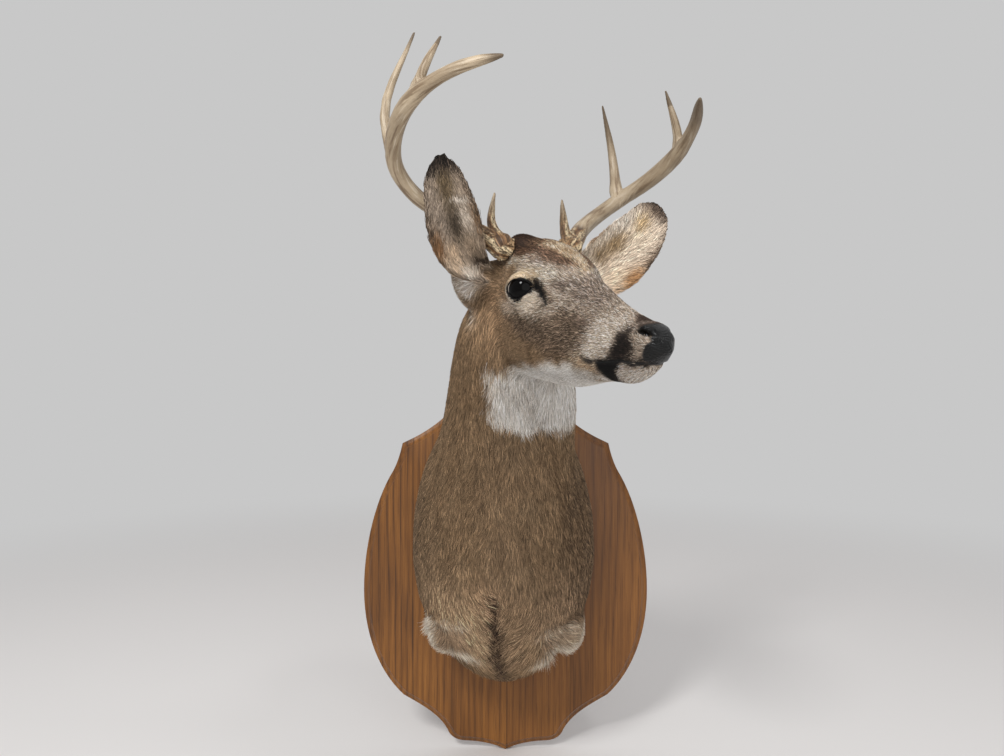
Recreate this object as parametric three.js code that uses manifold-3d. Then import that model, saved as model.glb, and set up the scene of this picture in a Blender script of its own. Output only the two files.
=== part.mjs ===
// White-tailed buck, shoulder mount on an oak shield: solids of the flesh, antlers, eyes and board.
// Millimetres, +Z up, the wall is the plane Y = 0 and the buck looks out towards -Y, turned to +X.
// The origin is the middle of the shield's back face.
// The head has a frame of its own: X runs down the muzzle, Y to the buck's left, Z out of the brow,
// and its origin lies midway between the two eyes.

import * as THREE from 'three';
import { mergeVertices } from 'three/addons/utils/BufferGeometryUtils.js';
import Module from 'manifold-3d';

const wasm = await Module();
wasm.setup();

// ---- driving dimensions ----

const GAP = 0.3;

const SHIELD = { crest: 304, tip: -306, corner: [168, 193], waist: [184, 147], belly: [231, -45] };
const BOARD = { thickness: 19, edge: 11, mouldingWidth: 11 };

const HEAD_AT = [64, -345, 403];
const HEAD_TURN = THREE.MathUtils.degToRad(33);
const HEAD_NOD = THREE.MathUtils.degToRad(21.5);
const HEAD_TILT = THREE.MathUtils.degToRad(1);

const EYE = { centre: [-6, 43.5, -1], radius: 19 };
const LIDS = { shift: [2, 18.5, -2], size: [22, 12, 11], facing: 0.42 };
const NOSE = { back: 158, slope: 0.22, top: 13, lip: -27, nostril: [166, 22, 3], nostrilSize: [9, 6, 4.5] };
const EAR = { halfWidth: 42, thickness: 7 };
const EAR_BUTT = { centre: [-80, 45, -11], size: [25, 18, 26] };
const EAR_FOLD = { centre: [-92, 74, -25], size: [15, 18, 40], lean: 0.61 };
const CROWN_TUFT = { centre: [-57, -24, 38], size: [24, 20, 14.5] };

const BURR_RADIUS = 17;
const TINE_TIP = 1.6;

const SIDES_BODY = 26;
const SIDES_EAR = 9;
const SIDES_BALL = 14;
const SIDES_ANTLER = 9;

// ---- curves and solids ----

// A smooth function through a short list of [x, value] pairs.
function profile(knots) {
  const slope = (i, j) => (knots[j][1] - knots[i][1]) / (knots[j][0] - knots[i][0]);
  const last = knots.length - 1;
  const tangent = (i) => {
    if (i === 0) return slope(0, 1);
    if (i === last) return slope(last - 1, last);
    return 0.5 * (slope(i - 1, i) + slope(i, i + 1));
  };
  return (x) => {
    let i = 0;
    while (i < last - 1 && x > knots[i + 1][0]) i += 1;
    const span = knots[i + 1][0] - knots[i][0];
    const t = (x - knots[i][0]) / span;
    const rise = (1 + 2 * t) * (1 - t) ** 2 * knots[i][1] + t * t * (3 - 2 * t) * knots[i + 1][1];
    return rise + span * (t * (1 - t) ** 2 * tangent(i) - t * t * (1 - t) * tangent(i + 1));
  };
}

function vector(point) {
  return new THREE.Vector3(...point);
}

function line(points) {
  return new THREE.CatmullRomCurve3(points.map(vector), false, 'centripetal');
}

// Evenly spaced numbers from a to b, both ends included.
function steps(a, b, count) {
  return Array.from({ length: count }, (_, i) => a + ((b - a) * i) / (count - 1));
}

// Signed volume, positive when the faces point outwards.
function volume(position, index) {
  const corner = [new THREE.Vector3(), new THREE.Vector3(), new THREE.Vector3()];
  let sum = 0;
  for (let i = 0; i < index.length; i += 3) {
    corner.forEach((v, k) => v.fromBufferAttribute(position, index[i + k]));
    sum += corner[0].dot(corner[1].cross(corner[2])) / 6;
  }
  return sum;
}

// A closed skin over a row of loops that have the same number of points, with both ends capped.
function skin(loops) {
  const count = loops[0].length;
  const points = loops.flat();
  const index = [];
  for (let r = 0; r < loops.length - 1; r += 1) {
    for (let i = 0; i < count; i += 1) {
      const a = r * count + i;
      const b = r * count + ((i + 1) % count);
      index.push(a, b, b + count, a, b + count, a + count);
    }
  }
  const cap = (loop, start, turned) => {
    const middle = new THREE.Vector3();
    loop.forEach((p) => middle.addScaledVector(p, 1 / count));
    points.push(middle);
    for (let i = 0; i < count; i += 1) {
      const a = start + i;
      const b = start + ((i + 1) % count);
      index.push(points.length - 1, ...(turned ? [b, a] : [a, b]));
    }
  };
  cap(loops[0], 0, true);
  cap(loops[loops.length - 1], (loops.length - 1) * count, false);
  const geometry = new THREE.BufferGeometry().setFromPoints(points);
  if (volume(geometry.attributes.position, index) < 0) index.reverse();
  geometry.setIndex(index);
  return geometry;
}

function toSolid(geometry) {
  const bare = geometry.clone();
  bare.deleteAttribute('normal');
  bare.deleteAttribute('uv');
  const merged = mergeVertices(bare, 1e-4);
  return new wasm.Manifold(new wasm.Mesh({
    numProp: 3,
    vertProperties: new Float32Array(merged.attributes.position.array),
    triVerts: new Uint32Array(merged.index.array),
  }));
}

function toGeometry(solid) {
  const mesh = solid.getMesh();
  const points = [];
  for (let i = 0; i < mesh.vertProperties.length; i += mesh.numProp) {
    points.push(...mesh.vertProperties.slice(i, i + 3));
  }
  const geometry = new THREE.BufferGeometry();
  geometry.setAttribute('position', new THREE.Float32BufferAttribute(points, 3));
  geometry.setIndex(Array.from(mesh.triVerts));
  return geometry;
}

function ellipsoid(centre, size, grow = 0) {
  const ball = new THREE.SphereGeometry(1, SIDES_BALL, SIDES_BALL / 2 + 1);
  ball.scale(size[0] + grow, size[1] + grow, size[2] + grow);
  ball.translate(...centre);
  return ball;
}

function mirrored(point, side) {
  return [point[0], point[1] * side, point[2]];
}

function node(name, geometry, colour, roughness) {
  geometry.computeVertexNormals();
  const material = new THREE.MeshStandardMaterial({ color: colour, roughness, metalness: 0 });
  const mesh = new THREE.Mesh(geometry, material);
  mesh.name = name;
  return mesh;
}

// ---- shield ----

// Right half of the outline, from the crest down to the tip, with the left half mirrored from it.
function shieldOutline() {
  const { crest, tip, corner, waist, belly } = SHIELD;
  const half = new THREE.Shape();
  half.moveTo(0, crest);
  half.quadraticCurveTo(38, crest - 2, 66, crest - 28);
  half.quadraticCurveTo(98, 224, ...corner);
  half.quadraticCurveTo(174, 165, ...waist);
  half.bezierCurveTo(210, 105, belly[0], 30, ...belly);
  half.bezierCurveTo(belly[0], -120, 205, -182, 166, -217);
  half.bezierCurveTo(140, -232, 104, -250, 92, -279);
  half.quadraticCurveTo(84, -291, 66, -292);
  half.quadraticCurveTo(28, -293, 0, tip);
  const right = half.getPoints(4);
  const left = right.slice(1, -1).reverse().map((p) => new THREE.Vector2(-p.x, p.y));
  return [...right, ...left];
}

// The outline moved inwards along the bisector of its two neighbouring edges.
function inset(outline, distance) {
  const count = outline.length;
  return outline.map((p, i) => {
    const before = outline[(i + count - 1) % count];
    const after = outline[(i + 1) % count];
    const a = new THREE.Vector2().subVectors(p, before).normalize();
    const b = new THREE.Vector2().subVectors(after, p).normalize();
    const inward = new THREE.Vector2(a.y + b.y, -a.x - b.x).normalize();
    const reach = distance / Math.max(0.6, inward.x * a.y - inward.y * a.x);
    return p.clone().addScaledVector(inward, reach);
  });
}

// A slab with a moulded front edge: each step is [distance in from the outline, depth].
function shieldBoard() {
  const outline = shieldOutline();
  const { thickness, edge, mouldingWidth } = BOARD;
  const mouldingSteps = [[0, 0], [0, edge], [2, edge + 1.5], [mouldingWidth - 2, thickness - 1.5],
    [mouldingWidth, thickness]];
  const loops = mouldingSteps.map(([inwards, depth]) => (
    inset(outline, inwards).map((p) => new THREE.Vector3(p.x, -depth, p.y))));
  const count = outline.length;
  const index = [];
  for (let r = 0; r < loops.length - 1; r += 1) {
    for (let i = 0; i < count; i += 1) {
      const a = r * count + i;
      const b = r * count + ((i + 1) % count);
      index.push(a, b, b + count, a, b + count, a + count);
    }
  }
  const faceStart = (loops.length - 1) * count;
  THREE.ShapeUtils.triangulateShape(outline, []).forEach(([a, b, c]) => {
    index.push(a, b, c, faceStart + a, faceStart + c, faceStart + b);
  });
  const geometry = new THREE.BufferGeometry().setFromPoints(loops.flat());
  if (volume(geometry.attributes.position, index) < 0) index.reverse();
  geometry.setIndex(index);
  return geometry;
}

// ---- trunk and neck ----

// The nape runs from the withers at the board to the poll, the throat from the brisket to the jaw.
const BACK = -BOARD.thickness - GAP;
const NAPE = line([[-4, BACK, 202], [-4, -40, 218], [-4, -62, 236], [-4, -82, 256], [-2, -100, 280],
  [1, -118, 308], [2, -138, 336], [-8, -164, 368], [-14, -198, 402], [-2, -236, 436]]);
const THROAT = line([[0, BACK, -172], [-1, -95, -160], [-3, -175, -112], [-4, -232, -40], [-2, -262, 44],
  [5, -264, 130], [15, -270, 204], [30, -288, 262], [46, -312, 314], [60, -336, 366]]);
const STATIONS = 9;
const NECK_START = 5;
const NECK_SLIT = 0.012;
const HALF_WIDTH = profile([[0, 138], [1, 141], [2, 138], [3, 124], [4, 105], [5, 96], [6, 92], [7, 86],
  [8, 77], [9, 54]]);
const WIDEST = profile([[0, 0.52], [1, 0.52], [3, 0.46], [5, 0.46], [9, 0.5]]);
const FULL_FRONT = profile([[0, 1.85], [1, 1.9], [2, 1.95], [4, 1.95], [6, 2.1], [9, 2.1]]);
const FULL_BACK = profile([[0, 2.4], [3, 2.3], [6, 2.1], [9, 2]]);

// One loop of the trunk or neck, in the plane that holds its nape point and its throat point.
function bodyLoop(station) {
  const back = NAPE.getPoint(station / STATIONS);
  const front = THROAT.getPoint(station / STATIONS);
  const along = new THREE.Vector3().subVectors(front, back);
  const across = new THREE.Vector3(-along.y, along.x, 0);
  if (station < 1) across.set(1, 0, 0);
  across.normalize();
  const widest = WIDEST(station);
  const middle = back.clone().addScaledVector(along, widest);
  return steps(0, 2 * Math.PI, SIDES_BODY + 1).slice(0, -1).map((angle) => {
    const forward = Math.cos(angle);
    const fullness = 2 / (forward > 0 ? FULL_FRONT(station) : FULL_BACK(station));
    const reach = Math.sign(forward) * Math.abs(forward) ** fullness;
    const aside = Math.sign(Math.sin(angle)) * Math.abs(Math.sin(angle)) ** fullness;
    const depth = forward > 0 ? 1 - widest : widest;
    return middle.clone().addScaledVector(along, reach * depth)
      .addScaledVector(across, aside * HALF_WIDTH(station));
  });
}

function bodyLength(from, to, loops) {
  return skin(steps(from, to, loops).map(bodyLoop));
}

// Stumps of the two forelegs, low on the trunk, where the cape was cut.
const STUMP = { centre: [84, -100, -62], size: [38, 70, 52] };

function trunkSolid() {
  const shell = toSolid(bodyLength(0, NECK_START - NECK_SLIT, 14));
  const [across, forward, height] = STUMP.centre;
  return [-1, 1].reduce((body, side) => (
    body.add(toSolid(ellipsoid([side * across, forward, height], STUMP.size)))), shell);
}

// ---- head ----

const CROWN_LINE = profile([[-118, -12], [-95, 20], [-65, 47], [-35, 53], [0, 49], [25, 42], [50, 33],
  [75, 27], [100, 21], [125, 16], [145, 13.5], [160, 12.5], [172, 9], [181, 2], [187, -7]]);
const JAW_LINE = profile([[-118, -80], [-80, -104], [-40, -118], [0, -113], [40, -105], [70, -97],
  [90, -87], [110, -75], [130, -66], [150, -61], [163, -53], [172, -40], [179, -28], [187, -14]]);
// Half widths of a section at four heights: brow, side of the face, cheek and jaw.
const BROW_WIDTH = profile([[-118, 22], [-80, 36], [-45, 42], [-10, 41], [20, 33], [50, 24], [80, 18],
  [110, 15], [140, 17], [160, 20], [176, 13], [187, 4]]);
const FACE_WIDTH = profile([[-118, 28], [-80, 44], [-45, 55], [-15, 56], [10, 52], [40, 44], [75, 35],
  [110, 28], [140, 27], [160, 27], [176, 19], [187, 7]]);
const CHEEK_WIDTH = profile([[-118, 28], [-80, 42], [-45, 54], [-10, 50], [20, 45], [50, 41], [80, 36],
  [110, 31], [140, 28], [160, 25], [176, 17], [187, 7]]);
const JAW_WIDTH = profile([[-118, 18], [-80, 28], [-40, 41], [0, 42], [30, 38], [70, 30], [110, 24],
  [140, 21], [160, 18], [176, 13], [187, 4]]);
const LEVELS = { brow: 0.1, face: 0.34, cheek: 0.62, jaw: 0.88 };
// Bulges of the skin over the bone: the eye's rim and brow, the cheek bone and the hollow before the eye.
const BULGES = [
  { at: [-4, 60, 12], size: [26, 30, 17], rise: 5 },
  { at: [2, 48, 31], size: [28, 22, 14], rise: 6 },
  { at: [12, 52, -22], size: [34, 30, 14], rise: 3 },
  { at: [42, 46, -4], size: [18, 30, 13], rise: -3.5 },
  { at: [110, 30, -12], size: [22, 30, 18], rise: -2 },
];

function bulged(point) {
  const moved = point.clone();
  const side = Math.sign(point.y);
  BULGES.forEach(({ at, size, rise }) => {
    const away = ((point.x - at[0]) / size[0]) ** 2 + ((Math.abs(point.y) - at[1]) / size[1]) ** 2
      + ((point.z - at[2]) / size[2]) ** 2;
    moved.y += side * rise * Math.exp(-away);
  });
  return moved;
}

function headLoop(along, grow) {
  const top = CROWN_LINE(along) + grow;
  const bottom = JAW_LINE(along) - grow;
  const level = (share) => top + (bottom - top) * share;
  const side = [[BROW_WIDTH(along), level(LEVELS.brow)], [FACE_WIDTH(along), level(LEVELS.face)],
    [CHEEK_WIDTH(along), level(LEVELS.cheek)], [JAW_WIDTH(along), level(LEVELS.jaw)]];
  const left = side.map(([width, height]) => new THREE.Vector3(along, width + grow, height));
  const right = [...left].reverse().map((p) => new THREE.Vector3(p.x, -p.y, p.z));
  const outline = new THREE.CatmullRomCurve3([new THREE.Vector3(along, 0, top), ...left,
    new THREE.Vector3(along, 0, bottom), ...right], true, 'centripetal');
  return outline.getPoints(SIDES_BODY).slice(0, -1).map(bulged);
}

const HEAD_STATIONS = [-118, -104, -90, -76, -62, -48, -36, -25, -15, -6, 3, 12, 22, 34, 46, 60, 75, 92, 108,
  124, 138, 150, 159, 167, 174, 180, 184, 187];

// The fold of skin that runs from the foot of an ear down to the neck.
function earFold(side, grow) {
  const fold = ellipsoid([0, 0, 0], EAR_FOLD.size, grow);
  fold.rotateX(-side * EAR_FOLD.lean);
  fold.translate(...mirrored(EAR_FOLD.centre, side));
  return toSolid(fold);
}

function headShell(grow = 0) {
  const shell = toSolid(skin(HEAD_STATIONS.map((along) => {
    const stretched = along + grow * Math.sign(along);
    return headLoop(along, grow).map((p) => p.setX(stretched));
  })));
  return [-1, 1].reduce((joined, side) => (
    joined.add(toSolid(ellipsoid(mirrored(EAR_BUTT.centre, side), EAR_BUTT.size, grow)))
      .add(earFold(side, grow))), shell.add(toSolid(ellipsoid(CROWN_TUFT.centre, CROWN_TUFT.size, grow))));
}

// The wet nose leather is all of the muzzle ahead of a sloping plane and above the upper lip.
function noseBlock(grow) {
  const deep = 60;
  const foot = NOSE.back + NOSE.slope * (NOSE.top - NOSE.lip);
  const outline = new THREE.Shape([
    new THREE.Vector2(NOSE.back - NOSE.slope * deep - grow, NOSE.top + deep),
    new THREE.Vector2(foot - grow, NOSE.lip - grow),
    new THREE.Vector2(foot + deep, NOSE.lip - grow),
    new THREE.Vector2(foot + deep, NOSE.top + deep),
  ]);
  const block = new THREE.ExtrudeGeometry(outline, { depth: 2 * deep, bevelEnabled: false });
  block.rotateX(Math.PI / 2);
  block.translate(0, deep, 0);
  return toSolid(block);
}

function nostrils(solid) {
  return [-1, 1].reduce((cut, side) => (
    cut.subtract(toSolid(ellipsoid(mirrored(NOSE.nostril, side), NOSE.nostrilSize)))), solid);
}

// The lids leave an almond open over each eyeball.
function eyeSockets(solid) {
  return [-1, 1].reduce((cut, side) => {
    const ball = ellipsoid(mirrored(EYE.centre, side), [EYE.radius, EYE.radius, EYE.radius], GAP);
    const opening = ellipsoid([0, 0, 0], LIDS.size);
    opening.rotateZ(-side * LIDS.facing);
    opening.translate(...mirrored(EYE.centre.map((value, axis) => value + LIDS.shift[axis]), side));
    return cut.subtract(toSolid(ball)).subtract(toSolid(opening));
  }, solid);
}

// ---- ears ----

// Half width of the ear along its length, and how far it is rolled up (half angle of its arc).
const EAR_OUTLINE = profile([[0, 0.62], [0.15, 0.68], [0.35, 0.84], [0.5, 0.91], [0.65, 0.9], [0.82, 0.72],
  [0.93, 0.5], [1, 0.14]]);
const OPEN_EAR_OUTLINE = profile([[0, 0.78], [0.15, 0.9], [0.35, 1.08], [0.5, 1.04], [0.65, 0.92], [0.82, 0.7],
  [0.93, 0.5], [1, 0.16]]);
const EAR_ROLL = profile([[0, 2.6], [0.2, 2.0], [0.4, 1.3], [0.7, 0.85], [1, 0.6]]);

// An ear is a rolled leaf along a line from its root to its tip, open on the side that it faces.
function earSolid({ rib: ribPoints, faces, spread, outline }) {
  const rib = line(ribPoints);
  const back = vector(faces).normalize().negate();
  return toSolid(skin(steps(0, 1, 15).map((t) => {
    const along = rib.getTangent(t);
    const outwards = back.clone().addScaledVector(along, -back.dot(along)).normalize();
    const across = new THREE.Vector3().crossVectors(along, outwards);
    const roll = EAR_ROLL(t) * spread;
    const radius = (EAR.halfWidth * outline(t)) / roll;
    const thick = EAR.thickness * Math.min(1, 0.35 + 3 * (1 - t)) * (outline(t) < 0.3 ? 0.6 : 1);
    const place = (angle, r) => rib.getPoint(t).addScaledVector(outwards, radius - thick / 2)
      .addScaledVector(outwards, r * Math.cos(angle) - 2 * radius + thick / 2)
      .addScaledVector(across, r * Math.sin(angle));
    const outer = steps(-roll, roll, SIDES_EAR).map((angle) => place(angle, radius));
    const inner = steps(roll, -roll, SIDES_EAR).map((angle) => place(angle, Math.max(1, radius - thick)));
    return [...outer, ...inner];
  })));
}

const EARS = {
  right: { rib: [[-84, -46, -14], [-86, -84, 8], [-84, -110, 56], [-80, -144, 125]], faces: [0.66, -0.6, 0.4],
    spread: 1, outline: EAR_OUTLINE },
  left: { rib: [[-82, 46, -13], [-65, 105, 9], [-51, 142, 63], [-44, 158, 111]], faces: [0.78, -0.4, 0.45],
    spread: 0.74, outline: OPEN_EAR_OUTLINE },
};

// ---- antlers ----

// Beam and tines as lines in the head's frame, for the right antler and the left one.
const ANTLERS = {
  right: {
    girth: 1,
    beam: [[-52, -30, 22], [-64, -54, 34], [-104, -98, 52], [-128, -140, 70], [-129, -172, 101],
      [-107, -187, 140], [-71, -189, 175], [-32, -174, 204], [-11, -157, 218], [6, -134, 230]],
    brow: [[-64, -55, 38], [-90, -57, 57], [-103, -51, 90]],
    second: [[-133, -168, 100], [-173, -175, 158], [-183, -147, 248]],
    third: [[-71, -187, 178], [-66, -183, 206], [-83, -161, 241]],
  },
  left: {
    girth: 1.14,
    beam: [[-54, 28, 23], [-68, 51, 38], [-107, 96, 59], [-131, 139, 78], [-130, 172, 104],
      [-105, 189, 134], [-71, 194, 172], [-33, 175, 209], [5, 136, 239]],
    brow: [[-68, 49, 37], [-92, 55, 59], [-105, 51, 93]],
    second: [[-132, 166, 97], [-177, 175, 158], [-186, 146, 219]],
    third: [[-68, 196, 176], [-71, 184, 204], [-84, 161, 247]],
  },
};
const BEAM_RADIUS = profile([[0, 12], [0.12, 11], [0.3, 9.4], [0.5, 9.3], [0.72, 9.3], [0.8, 7.2],
  [0.9, 6.2], [0.96, 4.6], [1, 1.8]]);
const BURR_AT = 0.075;
const FORKS = { second: 0.5, third: 0.775 };
const TINES = { brow: 6.8, second: 7.2, third: 6 };

// A round bar along a line between two shares of its length, with its radius as a function of the share.
function bar(curve, radius, from, to, loops) {
  const side = new THREE.Vector3(0, 0, 1).cross(curve.getTangentAt(from)).normalize();
  return skin(steps(from, to, loops).map((t) => {
    const along = curve.getTangentAt(t);
    side.addScaledVector(along, -side.dot(along)).normalize();
    const up = new THREE.Vector3().crossVectors(side, along);
    return steps(0, 2 * Math.PI, SIDES_ANTLER + 1).slice(0, -1).map((angle) => (
      curve.getPointAt(t).addScaledVector(side, radius(t) * Math.cos(angle))
        .addScaledVector(up, radius(t) * Math.sin(angle))));
  }));
}

// The beam swells at the burr, the knobbly ring where it leaves the skin.
function beamRadius(t, girth, grow = 0) {
  const burr = (BURR_RADIUS - girth * BEAM_RADIUS(BURR_AT)) * Math.exp(-(((t - BURR_AT) / 0.02) ** 2));
  return girth * BEAM_RADIUS(t) + burr + grow;
}

function antlerNodes(side, headGrown) {
  const lines = ANTLERS[side];
  const { girth } = lines;
  const beam = line(lines.beam);
  const slit = GAP / 2 / beam.getLength();
  const lengths = [['base', 0, FORKS.second, 22], ['middle', FORKS.second, FORKS.third, 8],
    ['tip', FORKS.third, 1, 9]];
  const beams = lengths.map(([name, from, to, loops]) => {
    const start = Math.max(0, from + slit);
    const end = Math.min(1, to - slit);
    const solid = toSolid(bar(beam, (t) => beamRadius(t, girth), start, end, loops));
    return [`${side}_antler_${name}`, solid.subtract(headGrown)];
  });
  const grown = lengths.map(([, from, to, loops]) => (
    toSolid(bar(beam, (t) => beamRadius(t, girth, 1.5 * GAP), from, to, loops))));
  const tines = Object.entries(TINES).map(([name, thick]) => {
    const tine = line(lines[name]);
    const flare = (t) => 2 * Math.exp(-(((t - 0.1) / 0.07) ** 2));
    const full = girth * thick - TINE_TIP;
    const radius = (t) => TINE_TIP + full * (1 - t ** 1.6) * Math.min(1, 0.7 + 4 * t) + flare(t);
    const solid = [...grown, headGrown].reduce((rest, other) => rest.subtract(other),
      toSolid(bar(tine, radius, 0, 1, 9)));
    return [`${side}_${name}_tine`, solid];
  });
  return [...beams, ...tines];
}

// ---- the mount ----

const COLOURS = { oak: 0x7d502d, coat: 0x85705a, face: 0x96836c, ear: 0xa8947c, leather: 0x17161a,
  glass: 0x0b0908, antler: 0xb59f7c };

const mount = new THREE.Group();
mount.add(node('shield', shieldBoard(), COLOURS.oak, 0.45));

const headFrame = new THREE.Matrix4();
{
  const level = new THREE.Vector3(Math.sin(HEAD_TURN), -Math.cos(HEAD_TURN), 0);
  const up = new THREE.Vector3(0, 0, 1);
  const muzzle = level.clone().multiplyScalar(Math.cos(HEAD_NOD)).addScaledVector(up, -Math.sin(HEAD_NOD));
  const brow = level.clone().multiplyScalar(Math.sin(HEAD_NOD)).addScaledVector(up, Math.cos(HEAD_NOD));
  const left = new THREE.Vector3().crossVectors(brow, muzzle);
  const tiltedLeft = left.clone().multiplyScalar(Math.cos(HEAD_TILT))
    .addScaledVector(brow, Math.sin(HEAD_TILT));
  headFrame.makeBasis(muzzle, tiltedLeft, new THREE.Vector3().crossVectors(muzzle, tiltedLeft));
  headFrame.setPosition(vector(HEAD_AT));
}

const headGrown = headShell(GAP);
const headGrownPlaced = toSolid(toGeometry(headGrown).applyMatrix4(headFrame));
const neck = toSolid(bodyLength(NECK_START, STATIONS, 11)).subtract(headGrownPlaced);
mount.add(node('trunk', toGeometry(trunkSolid()), COLOURS.coat, 0.9));
mount.add(node('neck', toGeometry(neck), COLOURS.coat, 0.9));

const head = new THREE.Group();
head.applyMatrix4(headFrame);
mount.add(head);
const whole = headShell();
head.add(node('head', toGeometry(eyeSockets(whole.subtract(noseBlock(GAP)))), COLOURS.face, 0.9));
head.add(node('nose', toGeometry(nostrils(whole.intersect(noseBlock(0)))), COLOURS.leather, 0.3));
[['right', -1], ['left', 1]].forEach(([side, sign]) => {
  const centre = mirrored(EYE.centre, sign);
  const eyeball = ellipsoid(centre, [EYE.radius, EYE.radius, EYE.radius], 0);
  head.add(node(`${side}_eye`, toGeometry(toSolid(eyeball)), COLOURS.glass, 0.05));
  head.add(node(`${side}_ear`, toGeometry(earSolid(EARS[side]).subtract(headGrown)), COLOURS.ear, 0.9));
  antlerNodes(side, headGrown).forEach(([name, solid]) => {
    head.add(node(name, toGeometry(solid), COLOURS.antler, 0.5));
  });
});

export default mount;
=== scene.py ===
"""The looks of a white-tailed buck's shoulder mount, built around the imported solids.

Metres, +Z up. The wall is the plane Y = 0, the buck looks out towards -Y and its head is turned to +X.
Places on the head are in the head's own frame, in millimetres: X runs down the muzzle, Y to the
buck's left and Z out of the brow, and the origin lies between the eyes, just in front of them.
"""

import math

import bpy
import numpy as np
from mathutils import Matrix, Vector
from mathutils.bvhtree import BVHTree


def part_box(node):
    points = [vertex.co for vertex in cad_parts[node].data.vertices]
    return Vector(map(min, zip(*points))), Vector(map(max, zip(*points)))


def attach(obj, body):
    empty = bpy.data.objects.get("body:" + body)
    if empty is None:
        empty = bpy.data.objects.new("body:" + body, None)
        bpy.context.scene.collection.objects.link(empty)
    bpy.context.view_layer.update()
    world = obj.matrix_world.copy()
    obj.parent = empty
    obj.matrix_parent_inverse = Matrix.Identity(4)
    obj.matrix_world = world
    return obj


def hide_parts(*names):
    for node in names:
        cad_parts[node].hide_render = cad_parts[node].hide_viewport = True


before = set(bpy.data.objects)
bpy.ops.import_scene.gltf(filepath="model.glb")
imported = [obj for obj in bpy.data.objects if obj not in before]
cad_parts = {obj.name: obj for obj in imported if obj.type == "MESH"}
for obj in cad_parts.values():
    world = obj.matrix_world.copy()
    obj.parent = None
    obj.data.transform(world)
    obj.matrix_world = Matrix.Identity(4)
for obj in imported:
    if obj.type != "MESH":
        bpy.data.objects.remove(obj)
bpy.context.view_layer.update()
bpy.ops.object.select_all(action="DESELECT")
rng = np.random.default_rng(11)

MM = 0.001
ANTLER_NODES = ("antler_base", "antler_middle", "antler_tip", "brow_tine", "second_tine", "third_tine")
FLESH = ("trunk", "neck", "head", "nose", "right_ear", "left_ear")
SIDES = {"right": -1, "left": 1}


# ---- places ----


def unit(v):
    return v / np.maximum(np.linalg.norm(v, axis=-1, keepdims=True), 1e-9)


def mixed(first, second, share):
    return first * (1 - share) + share * second


def node_middle(name):
    low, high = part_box(name)
    return (np.array(low) + np.array(high)) / 2


HEAD_TURN = math.radians(33)
HEAD_NOD = math.radians(21.5)
# How far the solids' eyes lie behind and below the head's origin, in millimetres.
EYE_BEHIND, EYE_BELOW = 6, 1

level = np.array([math.sin(HEAD_TURN), -math.cos(HEAD_TURN), 0])
MUZZLE = level * math.cos(HEAD_NOD) - np.array([0, 0, math.sin(HEAD_NOD)])
LEFT = unit(node_middle("left_eye") - node_middle("right_eye"))
BROW = np.cross(MUZZLE, LEFT)
HEAD_AXES = np.stack([MUZZLE, LEFT, BROW])
HEAD_AT = (node_middle("left_eye") + node_middle("right_eye")) / 2
HEAD_AT = HEAD_AT + MM * (EYE_BEHIND * MUZZLE + EYE_BELOW * BROW)


def in_head(points):
    return (points - HEAD_AT) @ HEAD_AXES.T / MM


def from_head(points):
    return HEAD_AT + np.asarray(points, float) * MM @ HEAD_AXES


def ramp(x, start, end):
    """0 before start, 1 after end, and smooth between them."""
    t = np.clip((x - start) / (end - start), 0, 1)
    return t * t * (3 - 2 * t)


def blob(points, centre, size):
    """1 at the centre, falling away smoothly to 0 a little past the size."""
    return np.exp(-(((points - np.array(centre)) / np.array(size)) ** 2).sum(-1) * 1.4)


def distance_to(points, line):
    """How far each point is from a line through several places."""
    nearest = np.full(len(points), 1e9)
    for a, b in zip(line[:-1], line[1:]):
        share = np.clip(((points - a) @ (b - a)) / ((b - a) @ (b - a)), 0, 1)
        nearest = np.minimum(nearest, np.linalg.norm(points - a - share[:, None] * (b - a), axis=1))
    return nearest


def ridge(points, line, width):
    """1 along a line through the points, falling away to 0 a little past the width."""
    return np.exp(-1.4 * (distance_to(points, np.array(line, float)) / width) ** 2)


def along_side(points, line, width):
    """A ridge for a line over one side of the head, where a few millimetres of depth don't count."""
    return ridge(points * [1, 0.3, 1], np.array(line) * [1, 0.3, 1], width)


def inside(u, v, outline, soft):
    """1 inside an outline in the plane of u and v, 0 outside it, and smooth over 'soft' between."""
    outline = np.array([*outline, outline[0]], float)
    within = np.zeros(len(u), bool)
    for (au, av), (bu, bv) in zip(outline[:-1], outline[1:]):
        climb = bv - av or 1e-9
        within ^= ((av > v) != (bv > v)) & (u < au + (v - av) * (bu - au) / climb)
    nearest = distance_to(np.stack([u, v], axis=1), outline)
    return ramp(np.where(within, nearest, -nearest), -soft / 2, soft / 2)


def patches(points, size, seed):
    """Soft random patches about 'size' across, from -1 to 1."""
    draw = np.random.default_rng(seed)
    total = np.zeros(len(points))
    for _ in range(6):
        direction = unit(draw.normal(size=3)) * draw.uniform(0.6, 1.6) * math.tau / (2 * size)
        total += np.sin(points @ direction + draw.uniform(0, math.tau))
    return total / 3


# ---- meshes ----


def select_only(*objects):
    bpy.ops.object.select_all(action="DESELECT")
    for o in objects:
        o.select_set(True)
    bpy.context.view_layer.objects.active = objects[0]


def apply_modifier(piece, kind, **settings):
    select_only(piece)
    made = piece.modifiers.new(kind.title(), kind)
    for name, value in settings.items():
        setattr(made, name, value)
    bpy.ops.object.modifier_apply(modifier=made.name)


def edit_all(piece, operator, **settings):
    """Runs a mesh operator on the whole of a piece."""
    select_only(piece)
    bpy.ops.object.mode_set(mode="EDIT")
    bpy.ops.mesh.select_all(action="SELECT")
    operator(**settings)
    bpy.ops.object.mode_set(mode="OBJECT")


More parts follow.
